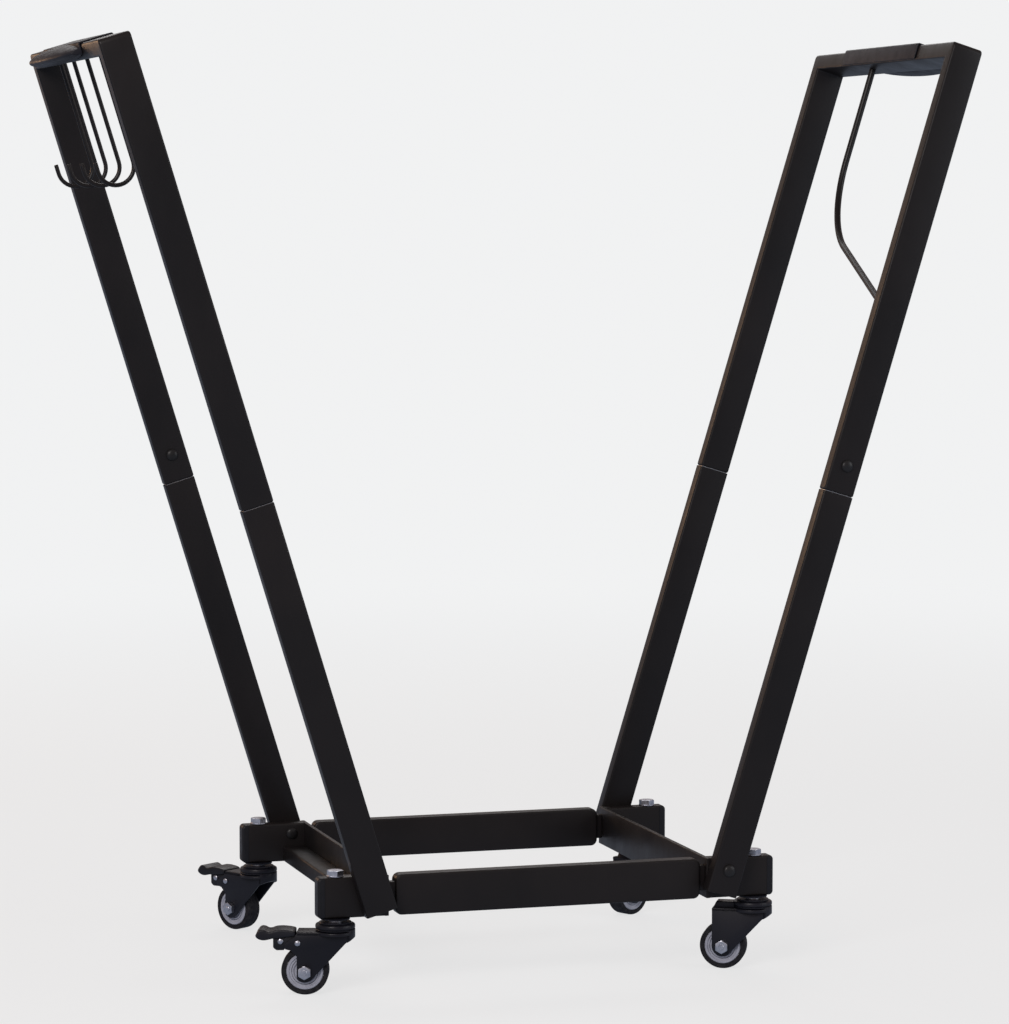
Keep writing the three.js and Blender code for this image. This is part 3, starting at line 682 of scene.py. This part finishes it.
def grip():
    """A thin saddle over the bar, and a hand roll that bows out along its outer side."""
    inside = POST_WIDE / 2 + FIT
    skin = inside + GRIP_WALL
    crest = FRAME_TOP + FIT + GRIP_WALL
    low = BAR_LOW + GRIP_SKIRT
    half = GRIP_LONG / 2
    shoulder = crest - TUBE_ROUND
    saddle = traced("saddle", [
        (-inside, low), (-inside, FRAME_TOP + FIT), (inside, FRAME_TOP + FIT),
        (inside, crest - GRIP_LIP), (skin, crest - GRIP_LIP),
        *arc((skin - TUBE_ROUND, shoulder), TUBE_ROUND, 0, 90, 5),
        *arc((TUBE_ROUND - skin, shoulder), TUBE_ROUND, 90, 180, 5), (-skin, low)],
        "Y", -half, half)
    soften(saddle, GRIP_EDGE, 3, 50)
    roll_middle = (inside, 0, crest - GRIP_ROLL_TALL / 2)
    bpy.ops.mesh.primitive_uv_sphere_add(
        segments=64, ring_count=72, radius=MM, location=Vector(roll_middle) * MM,
        rotation=(pi / 2, 0, 0), scale=(GRIP_REACH - FIT, GRIP_ROLL_TALL / 2, GRIP_BOW))
    roll = new_piece("roll")
    cut_off(roll, (((inside + 0.4, 0, 0), (-1, 0, 0)), ((0, half, 0), (0, 1, 0)),
                   ((0, -half, 0), (0, -1, 0))))
    soften(roll, GRIP_ROLL_EDGE, 5, 50)
    return join("grip", [saddle, roll])


def rod_start(name, radius, start, sides=16):
    """The top end of a rod that hangs down, left open for editing with its end selected."""
    bpy.ops.mesh.primitive_circle_add(vertices=sides, radius=radius * MM,
                                      location=Vector(start) * MM, fill_type="NGON")
    piece = new_piece(name)
    edit(piece)
    return piece


def hook(y):
    """Leg down, half turn outward, short tip with a rounded end."""
    high = BAR_LOW - FIT
    bend_high = high - HOOK_DROP
    piece = rod_start("hook", HOOK_ROD / 2, (HOOK_OFFSET, y, high))
    extrude(z=-HOOK_DROP)
    # Spin turns the left-handed way about its axis.
    bpy.ops.mesh.spin(steps=20, angle=pi, axis=(0, 1, 0), center=(
        (HOOK_OFFSET + HOOK_BEND) * MM, y * MM, bend_high * MM))
    extrude(z=HOOK_TIP)
    bpy.ops.mesh.bevel(offset=HOOK_TIP_ROUND * MM, segments=3, affect="EDGES")
    close()
    return piece


def bow():
    """Leg down, wide sweep forward, straight run to the front post."""
    high = BAR_LOW - FIT
    bend_high = high - BOW_LEG
    piece = rod_start("bow", BOW_ROD / 2, (0, BOW_TOP_BACK, high), 20)
    extrude(z=-BOW_LEG)
    bend_y = BOW_TOP_BACK - BOW_BEND
    # Spin turns the left-handed way about its axis.
    bpy.ops.mesh.spin(steps=24, angle=BOW_TURN, axis=(1, 0, 0), center=(
        0, bend_y * MM, bend_high * MM))
    end_y = bend_y + BOW_BEND * cos(BOW_TURN)
    run = (end_y + POST_INNER - FIT) / sin(BOW_TURN) - BOW_ROD / 2 / tan(BOW_TURN)
    extrude(y=-run * sin(BOW_TURN), z=-run * cos(BOW_TURN))
    close()
    return piece


def dress_side_frames():
    frame_pattern, post_pattern = upper_frame(), lower_post()
    bolt_pattern, grip_pattern = domed_bolt(), grip()
    for way, side in SIDES:
        place = frame_place(side)
        dress_copy(frame_pattern, f"upper_frame_{side}", place)
        dress_copy(grip_pattern, f"grip_{side}", place, soft_angle=40)
        # Bolt heads sit on the right frame's outer faces and on the left one's inner faces.
        seat = CART_DEPTH / 2 if side == "right" else POST_INNER
        foot_seat = CART_DEPTH / 2 if side == "right" else OUTRIGGER_INNER
        foot_x = way * (FRAME_FOOT + FOOT_BOLT_HEIGHT * tan(FRAME_LEAN))
        for end, name in ENDS:
            # The left frame is turned round, so its front post is at its own +Y end.
            local_end = way * end
            post_at = Matrix.Translation((0, local_end * (CART_DEPTH - POST_DEEP) / 2, 0))
            dress_copy(post_pattern, f"lower_post_{name}_{side}", place @ post_at)
            bolt_at = Matrix.Translation((0, local_end * seat + end * FIT,
                                          FRAME_SEAM + JOINT_BOLT_RISE))
            dress_copy(bolt_pattern, f"joint_bolt_{name}_{side}",
                       place @ bolt_at @ facing_y(end))
            foot_at = Matrix.Translation((
                foot_x, CART_MIDDLE + end * foot_seat + local_end * FIT, FOOT_BOLT_HEIGHT))
            dress_copy(bolt_pattern, f"foot_bolt_{name}_{side}",
                       foot_at @ facing_y(local_end))
    for number in range(HOOKS):
        rod = hook((number - (HOOKS - 1) / 2) * HOOK_PITCH)
        settle(rod, frame_place("left"))
        dress(rod, f"tool_hook_{number + 1}")
    rod = bow()
    settle(rod, frame_place("right"))
    dress(rod, "tool_bow")
    discard(frame_pattern, post_pattern, bolt_pattern, grip_pattern)


# ---------------------------------------------------------------- base


def tube_along_x(name, x, y, z):
    """A closed tube length: long edges rounded, ends left square."""
    piece = block(name, (x[0], y[0], z[0]), (x[1], y[1], z[1]))
    pick_edges(piece, lambda a, b: abs(a.x - b.x) > NEAR)
    bevel_picked(TUBE_ROUND, 4)
    close()
    return piece


def base_side():
    """Side plate, low ledge tube outside it, and two outrigger tubes, for the right side."""
    plate = block("plate", (SIDE_PLATE_INNER, -OUTRIGGER_OUTER, BASE_LOW),
                  (SIDE_PLATE_OUTER, OUTRIGGER_OUTER, BASE_HIGH))
    soften(plate, SOFT_EDGE, 3)
    root, half_long = SIDE_PLATE_OUTER - OVERLAP, OUTRIGGER_INNER + OVERLAP
    ledge = block("ledge", (root, -half_long, BASE_LOW),
                  (SIDE_PLATE_OUTER + LEDGE_WIDE, half_long, BASE_LOW + LEDGE_TALL))
    pick_edges(ledge, lambda a, b: abs(a.y - b.y) > NEAR)
    bevel_picked(TUBE_ROUND, 4)
    close()
    pieces = [plate, ledge]
    for end in (-1, 1):
        low, high = sorted((end * OUTRIGGER_INNER, end * OUTRIGGER_OUTER))
        reach = (root, BASE_REACH - CAP_FLANGE - FIT)
        pieces.append(tube_along_x("outrigger", reach, (low, high), (BASE_LOW, BASE_HIGH)))
    return join("base_side", pieces)


def end_cap():
    """Deep flange outside the outrigger's end, its corners rounded, and a plug inside."""
    half_deep, half_tall = OUTRIGGER_DEEP / 2, BASE_TALL / 2
    corner_x, corner_z = -CAP_ROUND, half_tall - CAP_ROUND
    piece = traced("end_cap", [
        (-CAP_FLANGE, half_tall), (-CAP_FLANGE, -half_tall),
        *arc((corner_x, -corner_z), CAP_ROUND, -90, 0, 10),
        *arc((corner_x, corner_z), CAP_ROUND, 0, 90, 10)], "Y", -half_deep, half_deep)
    pick_edges(piece, lambda a, b: abs(a.y - b.y) < SAME and abs(a.y) > half_deep - SAME
               and max(a.x, b.x) > -CAP_FLANGE + SAME)
    bevel_picked(TUBE_ROUND, 4)
    close()
    plug_deep, plug_tall = half_deep - CAP_PLUG_INSET, half_tall - CAP_PLUG_INSET
    plug = block("plug", (-CAP_FLANGE - CAP_PLUG, -plug_deep, -plug_tall),
                 (-CAP_FLANGE + 0.5, plug_deep, plug_tall))
    soften(plug, SOFT_EDGE)
    return join("end_cap", [piece, plug])


def rail():
    """Rectangular tube with rounded closed ends and a narrower tongue at each end."""
    body = block("rail", (-RAIL_HALF, -OUTRIGGER_DEEP / 2, -BASE_TALL / 2),
                 (RAIL_HALF, OUTRIGGER_DEEP / 2, BASE_TALL / 2))
    pick_edges(body, lambda a, b: abs(a.y - b.y) > NEAR)
    bevel_picked(RAIL_ROUND, 8)
    close()
    soften(body, TUBE_ROUND, 4, 50)
    reach = SIDE_PLATE_INNER - FIT
    tongue = block("tongue", (-reach, -TONGUE_DEEP / 2, -TONGUE_TALL / 2),
                   (reach, TONGUE_DEEP / 2, TONGUE_TALL / 2))
    soften(tongue, TONGUE_ROUND, 3)
    return join("rail", [body, tongue])


def dress_base():
    side_pattern, cap_pattern, rail_pattern = base_side(), end_cap(), rail()
    middle = Matrix.Translation((0, CART_MIDDLE, 0))
    for way, side in SIDES:
        dress_copy(side_pattern, f"base_side_{side}", middle @ side_turn(side))
        for end, name in ENDS:
            cap_at = Matrix.Translation((
                way * BASE_REACH, CART_MIDDLE + end * OUTRIGGER_MIDDLE, BASE_MIDDLE))
            dress_copy(cap_pattern, f"end_cap_{name}_{side}", cap_at @ side_turn(side))
    for end, name in ENDS:
        dress_copy(rail_pattern, f"{name}_rail", Matrix.Translation((
            0, CART_MIDDLE + end * OUTRIGGER_MIDDLE, BASE_MIDDLE)))
    discard(side_pattern, cap_pattern, rail_pattern)


# ---------------------------------------------------------------- casters


def hexagon(flats, low, high, chamfer):
    """A hexagon head between two heights, chamfered at the upper one."""
    radius = flats / sqrt(3)
    head = turned("hexagon", [(radius, low), (radius, high)], 6)
    cone = turned("cone", [(1.3 * radius, low - 1), (1.3 * radius, high - chamfer),
                           (0.86 * radius, high), (0.5 * radius, high)], 48)
    common = head.modifiers.new("chamfer", "BOOLEAN")
    common.operation = "INTERSECT"
    common.object = cone
    common.solver = "EXACT"
    apply_modifiers(head)
    discard(cone)
    return head


def caster_stem():
    """Top bolt with hexagon head and washer, bright neck between the races, foot rivet."""
    under_base = BASE_LOW - FIT
    neck = turned("neck", [(RACE_NECK, CROWN_HIGH + FIT + RACE_TALL),
                           (RACE_NECK, under_base - OVERLAP)], 40)
    foot_high = FORK_TOP - FORK_ROOF - FIT
    shank = turned("shank", [(STEM, foot_high - OVERLAP), (STEM, BASE_HIGH + OVERLAP)], 32)
    foot = turned("foot", [(STEM, foot_high), (STEM_FOOT, foot_high),
                           (STEM_FOOT, foot_high - 1.6), (STEM_FOOT - 1.2, foot_high - 2.8),
                           (STEM - 1, foot_high - 3.2)], 32)
    seat = BASE_HIGH + FIT
    washer_high = seat + WASHER_THICK
    washer = turned("washer", [(WASHER, seat), (WASHER, washer_high - 0.2),
                               (WASHER - 0.2, washer_high), (STEM, washer_high)], 40)
    head = hexagon(STEM_HEAD_FLATS, washer_high, seat + STEM_HEAD_TALL, STEM_HEAD_CHAMFER)
    return join("caster_stem", [neck, shank, foot, washer, head])


def stem_races():
    """The stem's black race disc over the crown, and its flange under the outrigger."""
    low, under_base, core = CROWN_HIGH + FIT, BASE_LOW - FIT, RACE_NECK - OVERLAP
    disc = turned("disc", [(STEM, low), (RACE - 0.6, low), (RACE, low + 0.6), (RACE, low + 1.2),
                           (RACE - 0.5, low + RACE_TALL), (core, low + RACE_TALL)], 64)
    flange_low = under_base - RACE_FLANGE_TALL
    flange = turned("flange", [
        (core, flange_low), (RACE_FLANGE - 0.3, flange_low), (RACE_FLANGE, flange_low + 0.3),
        (RACE_FLANGE, under_base), (STEM, under_base)], 64)
    return join("stem_races", [disc, flange])


def fork_plate_outline(brake):
    """One fork plate, from the front of its top edge round the axle and back up."""
    nose = -sqrt(CROWN ** 2 - FORK_OUTER ** 2)
    rear = TRAIL + BRAKE_FORK_REACH
    top = FORK_TOP - OVERLAP
    front = [(nose, top), (nose, FORK_TOP - 9), (nose + 5, FORK_TOP - 13)]
    boss = arc((TRAIL, WHEEL), FORK_BOSS, 235, 318 if brake else 360, 14)
    if brake:
        return front + boss + [
            (rear, PIVOT_HEIGHT - 15.5), (rear + 7, PIVOT_HEIGHT - 8.7),
            (PIVOT_OUT + 14, PIVOT_HEIGHT - 7.4), (PIVOT_OUT + 15, PIVOT_HEIGHT - 6.2),
            (PIVOT_OUT + 15, PIVOT_HEIGHT - 1), (rear + 2.5, FORK_TOP - 5.6),
            (rear, top)]
    return front + boss + [(TRAIL + FORK_BOSS, top)]


def fork_skirt():
    """The curved front that joins both fork plates, its lower edge sloping to the rear."""
    skirt_end = -FORK_OUTER / 2
    low = SKIRT_LOW - SKIRT_RISE * (skirt_end + CROWN) - 2
    inner = CROWN - FORK_PLATE
    high = FORK_TOP + SKIRT_IN_CROWN
    piece = turned("skirt", [(CROWN, low), (CROWN, high), (inner, high), (inner, low),
                             (CROWN, low)], 96, ring_shaped=True)
    cut_off(piece, (((-CROWN, 0, SKIRT_LOW), (-SKIRT_RISE, 0, -1)),
                    ((skirt_end, 0, 0), (1, 0, 0)), ((0, FORK_OUTER, 0), (0, 1, 0)),
                    ((0, -FORK_OUTER, 0), (0, -1, 0))))
    soften(piece, FORK_EDGE, 2, 50)
    return piece


def caster_fork(brake):
    """Pressed fork: two plates and a curved front under a roof with a ball-race crown."""
    pieces = [fork_skirt()]
    for way in (-1, 1):
        low, high = sorted((way * FORK_INSIDE / 2, way * FORK_OUTER))
        plate = traced("plate", fork_plate_outline(brake), "Y", low, high)
        soften(plate, FORK_EDGE, 2)
        pieces.append(plate)
    back = TRAIL + (BRAKE_FORK_REACH if brake else FORK_BOSS)
    meet = atan2(FORK_OUTER, sqrt(CROWN ** 2 - FORK_OUTER ** 2)) / DEGREE
    roof_outline = [(back, -FORK_OUTER), (back, FORK_OUTER),
                    *arc((0, 0), CROWN, meet, 360 - meet, 48)]
    roof = traced("roof", roof_outline, "Z", FORK_TOP - FORK_ROOF, FORK_TOP)
    pick_edges(roof, lambda a, b: min(a.z, b.z) > FORK_TOP - 0.1)
    bevel_picked(FORK_ROOF_ROUND, 4)
    close()
    groove = FORK_TOP + 2.9
    crown = turned("crown", [
        (FORK_OUTER - 1, FORK_TOP - 1.6), (FORK_OUTER + 3, FORK_TOP - 0.4),
        (CROWN - 1.4, FORK_TOP + 1), (CROWN - 0.3, FORK_TOP + 1.5), (CROWN, groove - 0.9),
        (CROWN - 0.4, groove - 0.5), (CROWN - 1.5, groove - 0.3),
        (CROWN - 1.5, groove + 0.3), (CROWN - 0.6, groove + 0.5), (CROWN, groove + 1.1),
        (CROWN, CROWN_HIGH - 1.9), (CROWN - 0.5, CROWN_HIGH - 0.7),
        (CROWN - 1.7, CROWN_HIGH), (12, CROWN_HIGH)], 80)
    pieces += [roof, crown]
    if not brake:
        bridge_low, bridge_high = FORK_TOP - OVERLAP, FORK_TOP + BRIDGE_TALL
        bridge = traced("bridge", [
            (RACE + 1, bridge_low), (back - 0.5, bridge_low),
            (back - BRIDGE_SLOPE, bridge_high), (RACE + 1, bridge_high)],
            "Y", -BRIDGE_WIDE / 2, BRIDGE_WIDE / 2)
        soften(bridge, BRIDGE_ROUND, 4)
        pieces.append(bridge)
    return join("caster_fork", pieces)


def wheel_axle():
    """Axle bolt along Y: hexagon head and nut alike, and the bolt's tip past the nut."""
    seat = FORK_OUTER + FIT
    root = seat + OVERLAP
    shank = turned("shank", [(AXLE, -root), (AXLE, root)], 32)
    settle(shank, facing_y(1))
    pieces = [shank]
    head_high = seat + AXLE_HEAD_TALL
    for way in (-1, 1):
        head = hexagon(AXLE_HEAD_FLATS, seat, head_high, AXLE_HEAD_CHAMFER)
        settle(head, facing_y(way))
        pieces.append(head)
    tip = turned("tip", [(AXLE - 0.6, root), (AXLE - 0.6, head_high + 0.5),
                         (AXLE - 1, head_high + 0.9)], 24)
    settle(tip, facing_y(1))
    return join("wheel_axle", [*pieces, tip])


def wheel_hub():
    """Dished hub: boss, two dark grooves in a sunk ring, and rim, alike on both faces."""
    bore, rim, half = AXLE + FIT, WHEEL - TYRE_THICK - FIT, WHEEL_WIDE / 2
    sunk = half - HUB_SUNK
    groove_low = sunk - HUB_GROOVE_DEEP
    face = [(bore, half), (HUB_BOSS - 0.6, half), (HUB_BOSS, half - 0.5),
            (HUB_BOSS + 0.3, sunk)]
    for groove, wide in HUB_GROOVES:
        face += [(groove - wide, sunk), (groove - wide + 0.2, groove_low),
                 (groove + wide - 0.2, groove_low), (groove + wide, sunk)]
    face += [(HUB_RIM, sunk), (HUB_RIM + 0.8, half - 0.5), (rim - 0.9, half - 0.5),
             (rim, half - 1.4)]
    back = [(radius, -height) for radius, height in reversed(face)]
    piece = turned("wheel_hub", [*face, *back, face[0]], 72, ring_shaped=True)
    settle(piece, facing_y(1))
    return piece


def tyre():
    """Band of rubber with rounded shoulders and two shallow tread grooves."""
    inner, half = WHEEL - TYRE_THICK, WHEEL_WIDE / 2 - TYRE_INSET
    shoulder = [(inner, half), (inner + 0.8, half), (WHEEL - 1.3, half - 0.25),
                (WHEEL - 0.5, half - 0.9), (WHEEL - 0.1, half - 2), (WHEEL, half - 3.2)]
    tread = [(WHEEL, half - 5.0), (WHEEL - 0.4, half - 5.3), (WHEEL - 0.4, half - 5.7),
             (WHEEL, half - 6.0)]
    back = [(radius, -height) for radius, height in reversed(shoulder + tread)]
    piece = turned("tyre", [*shoulder, *tread, *back, shoulder[0]], 72, ring_shaped=True)
    settle(piece, facing_y(1))
    return piece


def rivet(radius, seat):
    """A pin along Y with a low domed head at each end."""
    under_head = seat + FIT
    edge_high = under_head + RIVET_HEAD_EDGE
    dome_tall = RIVET_HEAD_TALL - RIVET_HEAD_EDGE
    dome = [(RIVET_HEAD * cos(radians(a)), edge_high + dome_tall * sin(radians(a)))
            for a in (0, 20, 40, 60, 78)]
    side = [(radius, under_head), (RIVET_HEAD, under_head), *dome]
    back = [(r, -height) for r, height in reversed(side)]
    piece = turned("rivet", [*back, *side], 32)
    settle(piece, facing_y(1))
    return piece


def brake_pedal():
    """Two cheeks between the fork plates, a two-lobed foot pad above, a shoe over the tyre."""
    def about_pivot(points):
        return [(PIVOT_OUT + x, PIVOT_HEIGHT + z) for x, z in points]

    cheek_outline = about_pivot([
        (-5.5, -1), (-4.6, -3.4), (-3, -5), (4, -5.4), (12, -4), (14.5, -6.6), (16, -8.8),
        (24, -9), (26.4, -7.6), (28.3, -5.6), (28.3, 5), (2, 8.2), (-2, 7.2), (-4.5, 4)])
    pieces = []
    for way in (-1, 1):
        low, high = sorted((way * (CHEEK_OUTER - CHEEK_THICK), way * CHEEK_OUTER))
        cheek = traced("cheek", cheek_outline, "Y", low, high)
        soften(cheek, CHEEK_EDGE, 2, 25)
        pieces.append(cheek)
    pad_outline = about_pivot([
        (3, 8.4), (3, 12.5), (3.9, 13.5), (5.5, 14), (9.3, 14.8), (13.5, 15.2), (17.5, 15.5),
        (21.5, 15.4), (24.8, 15.1), (27.5, 14.4), (29.8, 13.4), (32, 13), (33.8, 13),
        (35.5, 13.6), (37.4, 14.7), (39.5, 15.3), (41.4, 15.5), (43, 15.2), (44.8, 14.1),
        (46, 12.5), (47.6, 10.6), (48.5, 8.5), (48.2, 6.7), (47, 5.3), (44.4, 3.8), (41.5, 3),
        (38.5, 2.8), (35.5, 3.2), (32.8, 3.8), (30, 4.6), (17.5, 6.2), (5.5, 7.8)])
    pad = traced("pad", pad_outline, "Y", -PAD_WIDE / 2, PAD_WIDE / 2)
    pick_edges(pad, lambda a, b: abs(a.y - b.y) < SAME and abs(a.y) > PAD_WIDE / 2 - SAME)
    bevel_picked(PAD_ROUND, 4)
    close()
    half_wide = CHEEK_OUTER - OVERLAP
    shoe = traced("shoe", about_pivot([(2.5, -5.8), (10.5, -8.5), (13.5, -5.5), (12, 1.4),
                                       (3.5, 1.4)]), "Y", -half_wide, half_wide)
    soften(shoe, SOFT_EDGE, 3)
    post = block("post", (PIVOT_OUT + 4, -half_wide, PIVOT_HEIGHT),
                 (PIVOT_OUT + 12, half_wide, PIVOT_HEIGHT + 9))
    return join("brake_pedal", [*pieces, pad, shoe, post])


def dress_casters():
    stem, axle, hub, rubber = caster_stem(), wheel_axle(), wheel_hub(), tyre()
    races = stem_races()
    forks = {brake: caster_fork(brake) for brake in (False, True)}
    pedal = brake_pedal()
    pin, stud = rivet(PIVOT_PIN, FORK_OUTER), rivet(RIVET_PIN, CHEEK_OUTER)
    for corner in CORNERS:
        swivel = JOINTS[f"swivel_{corner}"]["pos_m"]
        axle_way = JOINTS[f"wheel_{corner}"]["axis"]
        turn = Matrix.Rotation(atan2(-axle_way[0], axle_way[1]), 4, "Z")
        stand = Matrix.Translation((swivel[0] / MM, swivel[1] / MM, 0))
        caster = stand @ turn
        wheel = caster @ Matrix.Translation((TRAIL, 0, WHEEL))
        brake = f"brake_{corner}" in JOINTS
        placed = [(stem, stand, f"caster_stem_{corner}"),
                  (forks[brake], caster, f"caster_fork_{corner}"),
                  (axle, wheel, f"wheel_axle_{corner}"),
                  (hub, wheel, f"wheel_hub_{corner}"),
                  (rubber, wheel, f"tyre_{corner}")]
        if brake:
            pivot = Matrix.Translation((PIVOT_OUT, 0, PIVOT_HEIGHT))
            tail = Matrix.Translation((RIVET_OUT, 0, RIVET_HEIGHT))
            placed += [(pedal, caster, f"brake_pedal_{corner}"),
                       (pin, caster @ pivot, f"brake_pin_{corner}"),
                       (stud, caster @ tail, f"brake_rivet_{corner}")]
        for pattern, place, node in placed:
            dress_copy(pattern, node, place)
        dress_copy(races, f"caster_stem_{corner}", stand, name=f"stem_races_{corner}",
                   slot="caster_fork")
    discard(stem, races, axle, hub, rubber, pedal, pin, stud, *forks.values())


def dress_spigots():
    """The sleeves inside the seams keep their solids and take the bare steel."""
    for node, spigot in frame["nodes"].items():
        if node.startswith("joint_spigot"):
            spigot.data.materials.clear()
            spigot.data.materials.append(FINISHES["spigot"])


# ---------------------------------------------------------------- stage, light, camera

STUDIO_TONE = (0.88, 0.885, 0.89)
REFLECTED_STUDIO = (0.32, 0.27, 0.26)
REFLECTED_FLOOR = (0.22, 0.27, 0.36)

# The floor, in metres: its width, and how far off its glow starts to rise and is whole.
# NEAR_GLOW is the share of the glow close to the cart.
FLOOR_WIDE = 60
GLOW_START = 1.2
GLOW_WHOLE = 4.5
NEAR_GLOW = 0.78


def studio_tone(tree, emitter, reflected):
    """The studio's pale tone, and the dimmer tone that the steel reflects."""
    ray = tree.nodes.new("ShaderNodeLightPath")
    choose = tree.nodes.new("ShaderNodeMixShader")
    tree.links.new(ray.outputs["Is Camera Ray"], choose.inputs[0])
    for socket, tone in ((1, reflected), (2, STUDIO_TONE)):
        source = tree.nodes.new(emitter)
        source.inputs["Color"].default_value = (*tone, 1)
        tree.links.new(source.outputs[0], choose.inputs[socket])
    return choose.outputs[0]


def stage():
    """A plain pale floor that blends into the studio's own tone a few metres off."""
    bpy.ops.mesh.primitive_plane_add(size=FLOOR_WIDE)
    floor = new_piece("floor")
    pale = Finish("floor_pale", (0.84, 0.838, 0.832), 0.75, specular=0.2)
    distance = pale.nodes.new("ShaderNodeVectorMath")
    distance.operation = "LENGTH"
    pale.links.new(pale.coordinates, distance.inputs[0])
    far = pale.nodes.new("ShaderNodeMapRange")
    far.interpolation_type = "SMOOTHSTEP"
    for socket, value in (("From Min", GLOW_START), ("From Max", GLOW_WHOLE),
                          ("To Min", NEAR_GLOW)):
        far.inputs[socket].default_value = value
    pale.links.new(distance.outputs["Value"], far.inputs["Value"])
    glow = studio_tone(pale.material.node_tree, "ShaderNodeEmission", REFLECTED_FLOOR)
    blend = pale.nodes.new("ShaderNodeMixShader")
    pale.links.new(far.outputs["Result"], blend.inputs[0])
    pale.links.new(pale.shader.outputs[0], blend.inputs[1])
    pale.links.new(glow, blend.inputs[2])
    pale.links.new(blend.outputs[0], pale.nodes["Material Output"].inputs["Surface"])
    floor.data.materials.append(pale.material)


def softbox(name, place, target, size, watts, color=(1, 1, 1)):
    """An area light, placed and aimed in metres."""
    data = bpy.data.lights.new(name, "AREA")
    data.shape = "RECTANGLE"
    data.size, data.size_y = size
    data.energy = watts
    data.color = color
    light = bpy.data.objects.new(name, data)
    bpy.context.scene.collection.objects.link(light)
    light.location = place
    light.visible_camera = False
    aim = Vector(target) - Vector(place)
    light.rotation_euler = aim.to_track_quat("-Z", "Y").to_euler()


def lights():
    """A pale studio: soft key, fill and back light, and a weak warm glow from the fireside."""
    world = bpy.data.worlds.new("studio")
    world.use_nodes = True
    tree = world.node_tree
    tone = studio_tone(tree, "ShaderNodeBackground", REFLECTED_STUDIO)
    tree.links.new(tone, tree.nodes["World Output"].inputs["Surface"])
    bpy.context.scene.world = world
    bpy.context.scene.view_settings.view_transform = "Standard"
    softbox("key", (-2.6, -3.2, 2.6), (0, 0, 0.5), (1.8, 1.8), 95, (1, 0.95, 0.94))
    softbox("fill", (3.2, -2.2, 1.6), (0, 0, 0.5), (2.2, 2.2), 34, (0.9, 0.95, 1))
    softbox("back", (0.6, 3.0, 2.8), (0, 0, 0.6), (2.4, 1.4), 30)
    softbox("fireside", (-1.9, 3.4, 1.3), (-0.2, 0, 0.95), (0.8, 0.8), 13, (1, 0.6, 0.33))


def camera():
    """The photograph's viewpoint, fitted to the cart's own corners."""
    photo_wide, photo_high = 1009, 1024
    focal_pixels = 3790.16
    centre_x, centre_y = 486.58, 496.74
    yaw, pitch = radians(16.53), radians(4.40)
    eye_x, eye_y, eye_high = -1313.9, -4371.8, 904.6
    data = bpy.data.cameras.new("camera")
    data.sensor_width = 36
    data.sensor_fit = "AUTO"
    data.lens = focal_pixels * data.sensor_width / photo_high
    data.shift_x = (photo_wide / 2 - centre_x) / photo_high
    data.shift_y = (centre_y - photo_high / 2) / photo_high
    data.clip_end = 100
    eye = bpy.data.objects.new("camera", data)
    bpy.context.scene.collection.objects.link(eye)
    eye.location = Vector((eye_x, eye_y + CART_MIDDLE, eye_high)) * MM
    eye.rotation_euler = (pi / 2 - pitch, 0, -yaw)
    bpy.context.scene.camera = eye


let_go()
camera()
dress_side_frames()
dress_base()
dress_casters()
dress_spigots()
stage()
lights()

let_go()
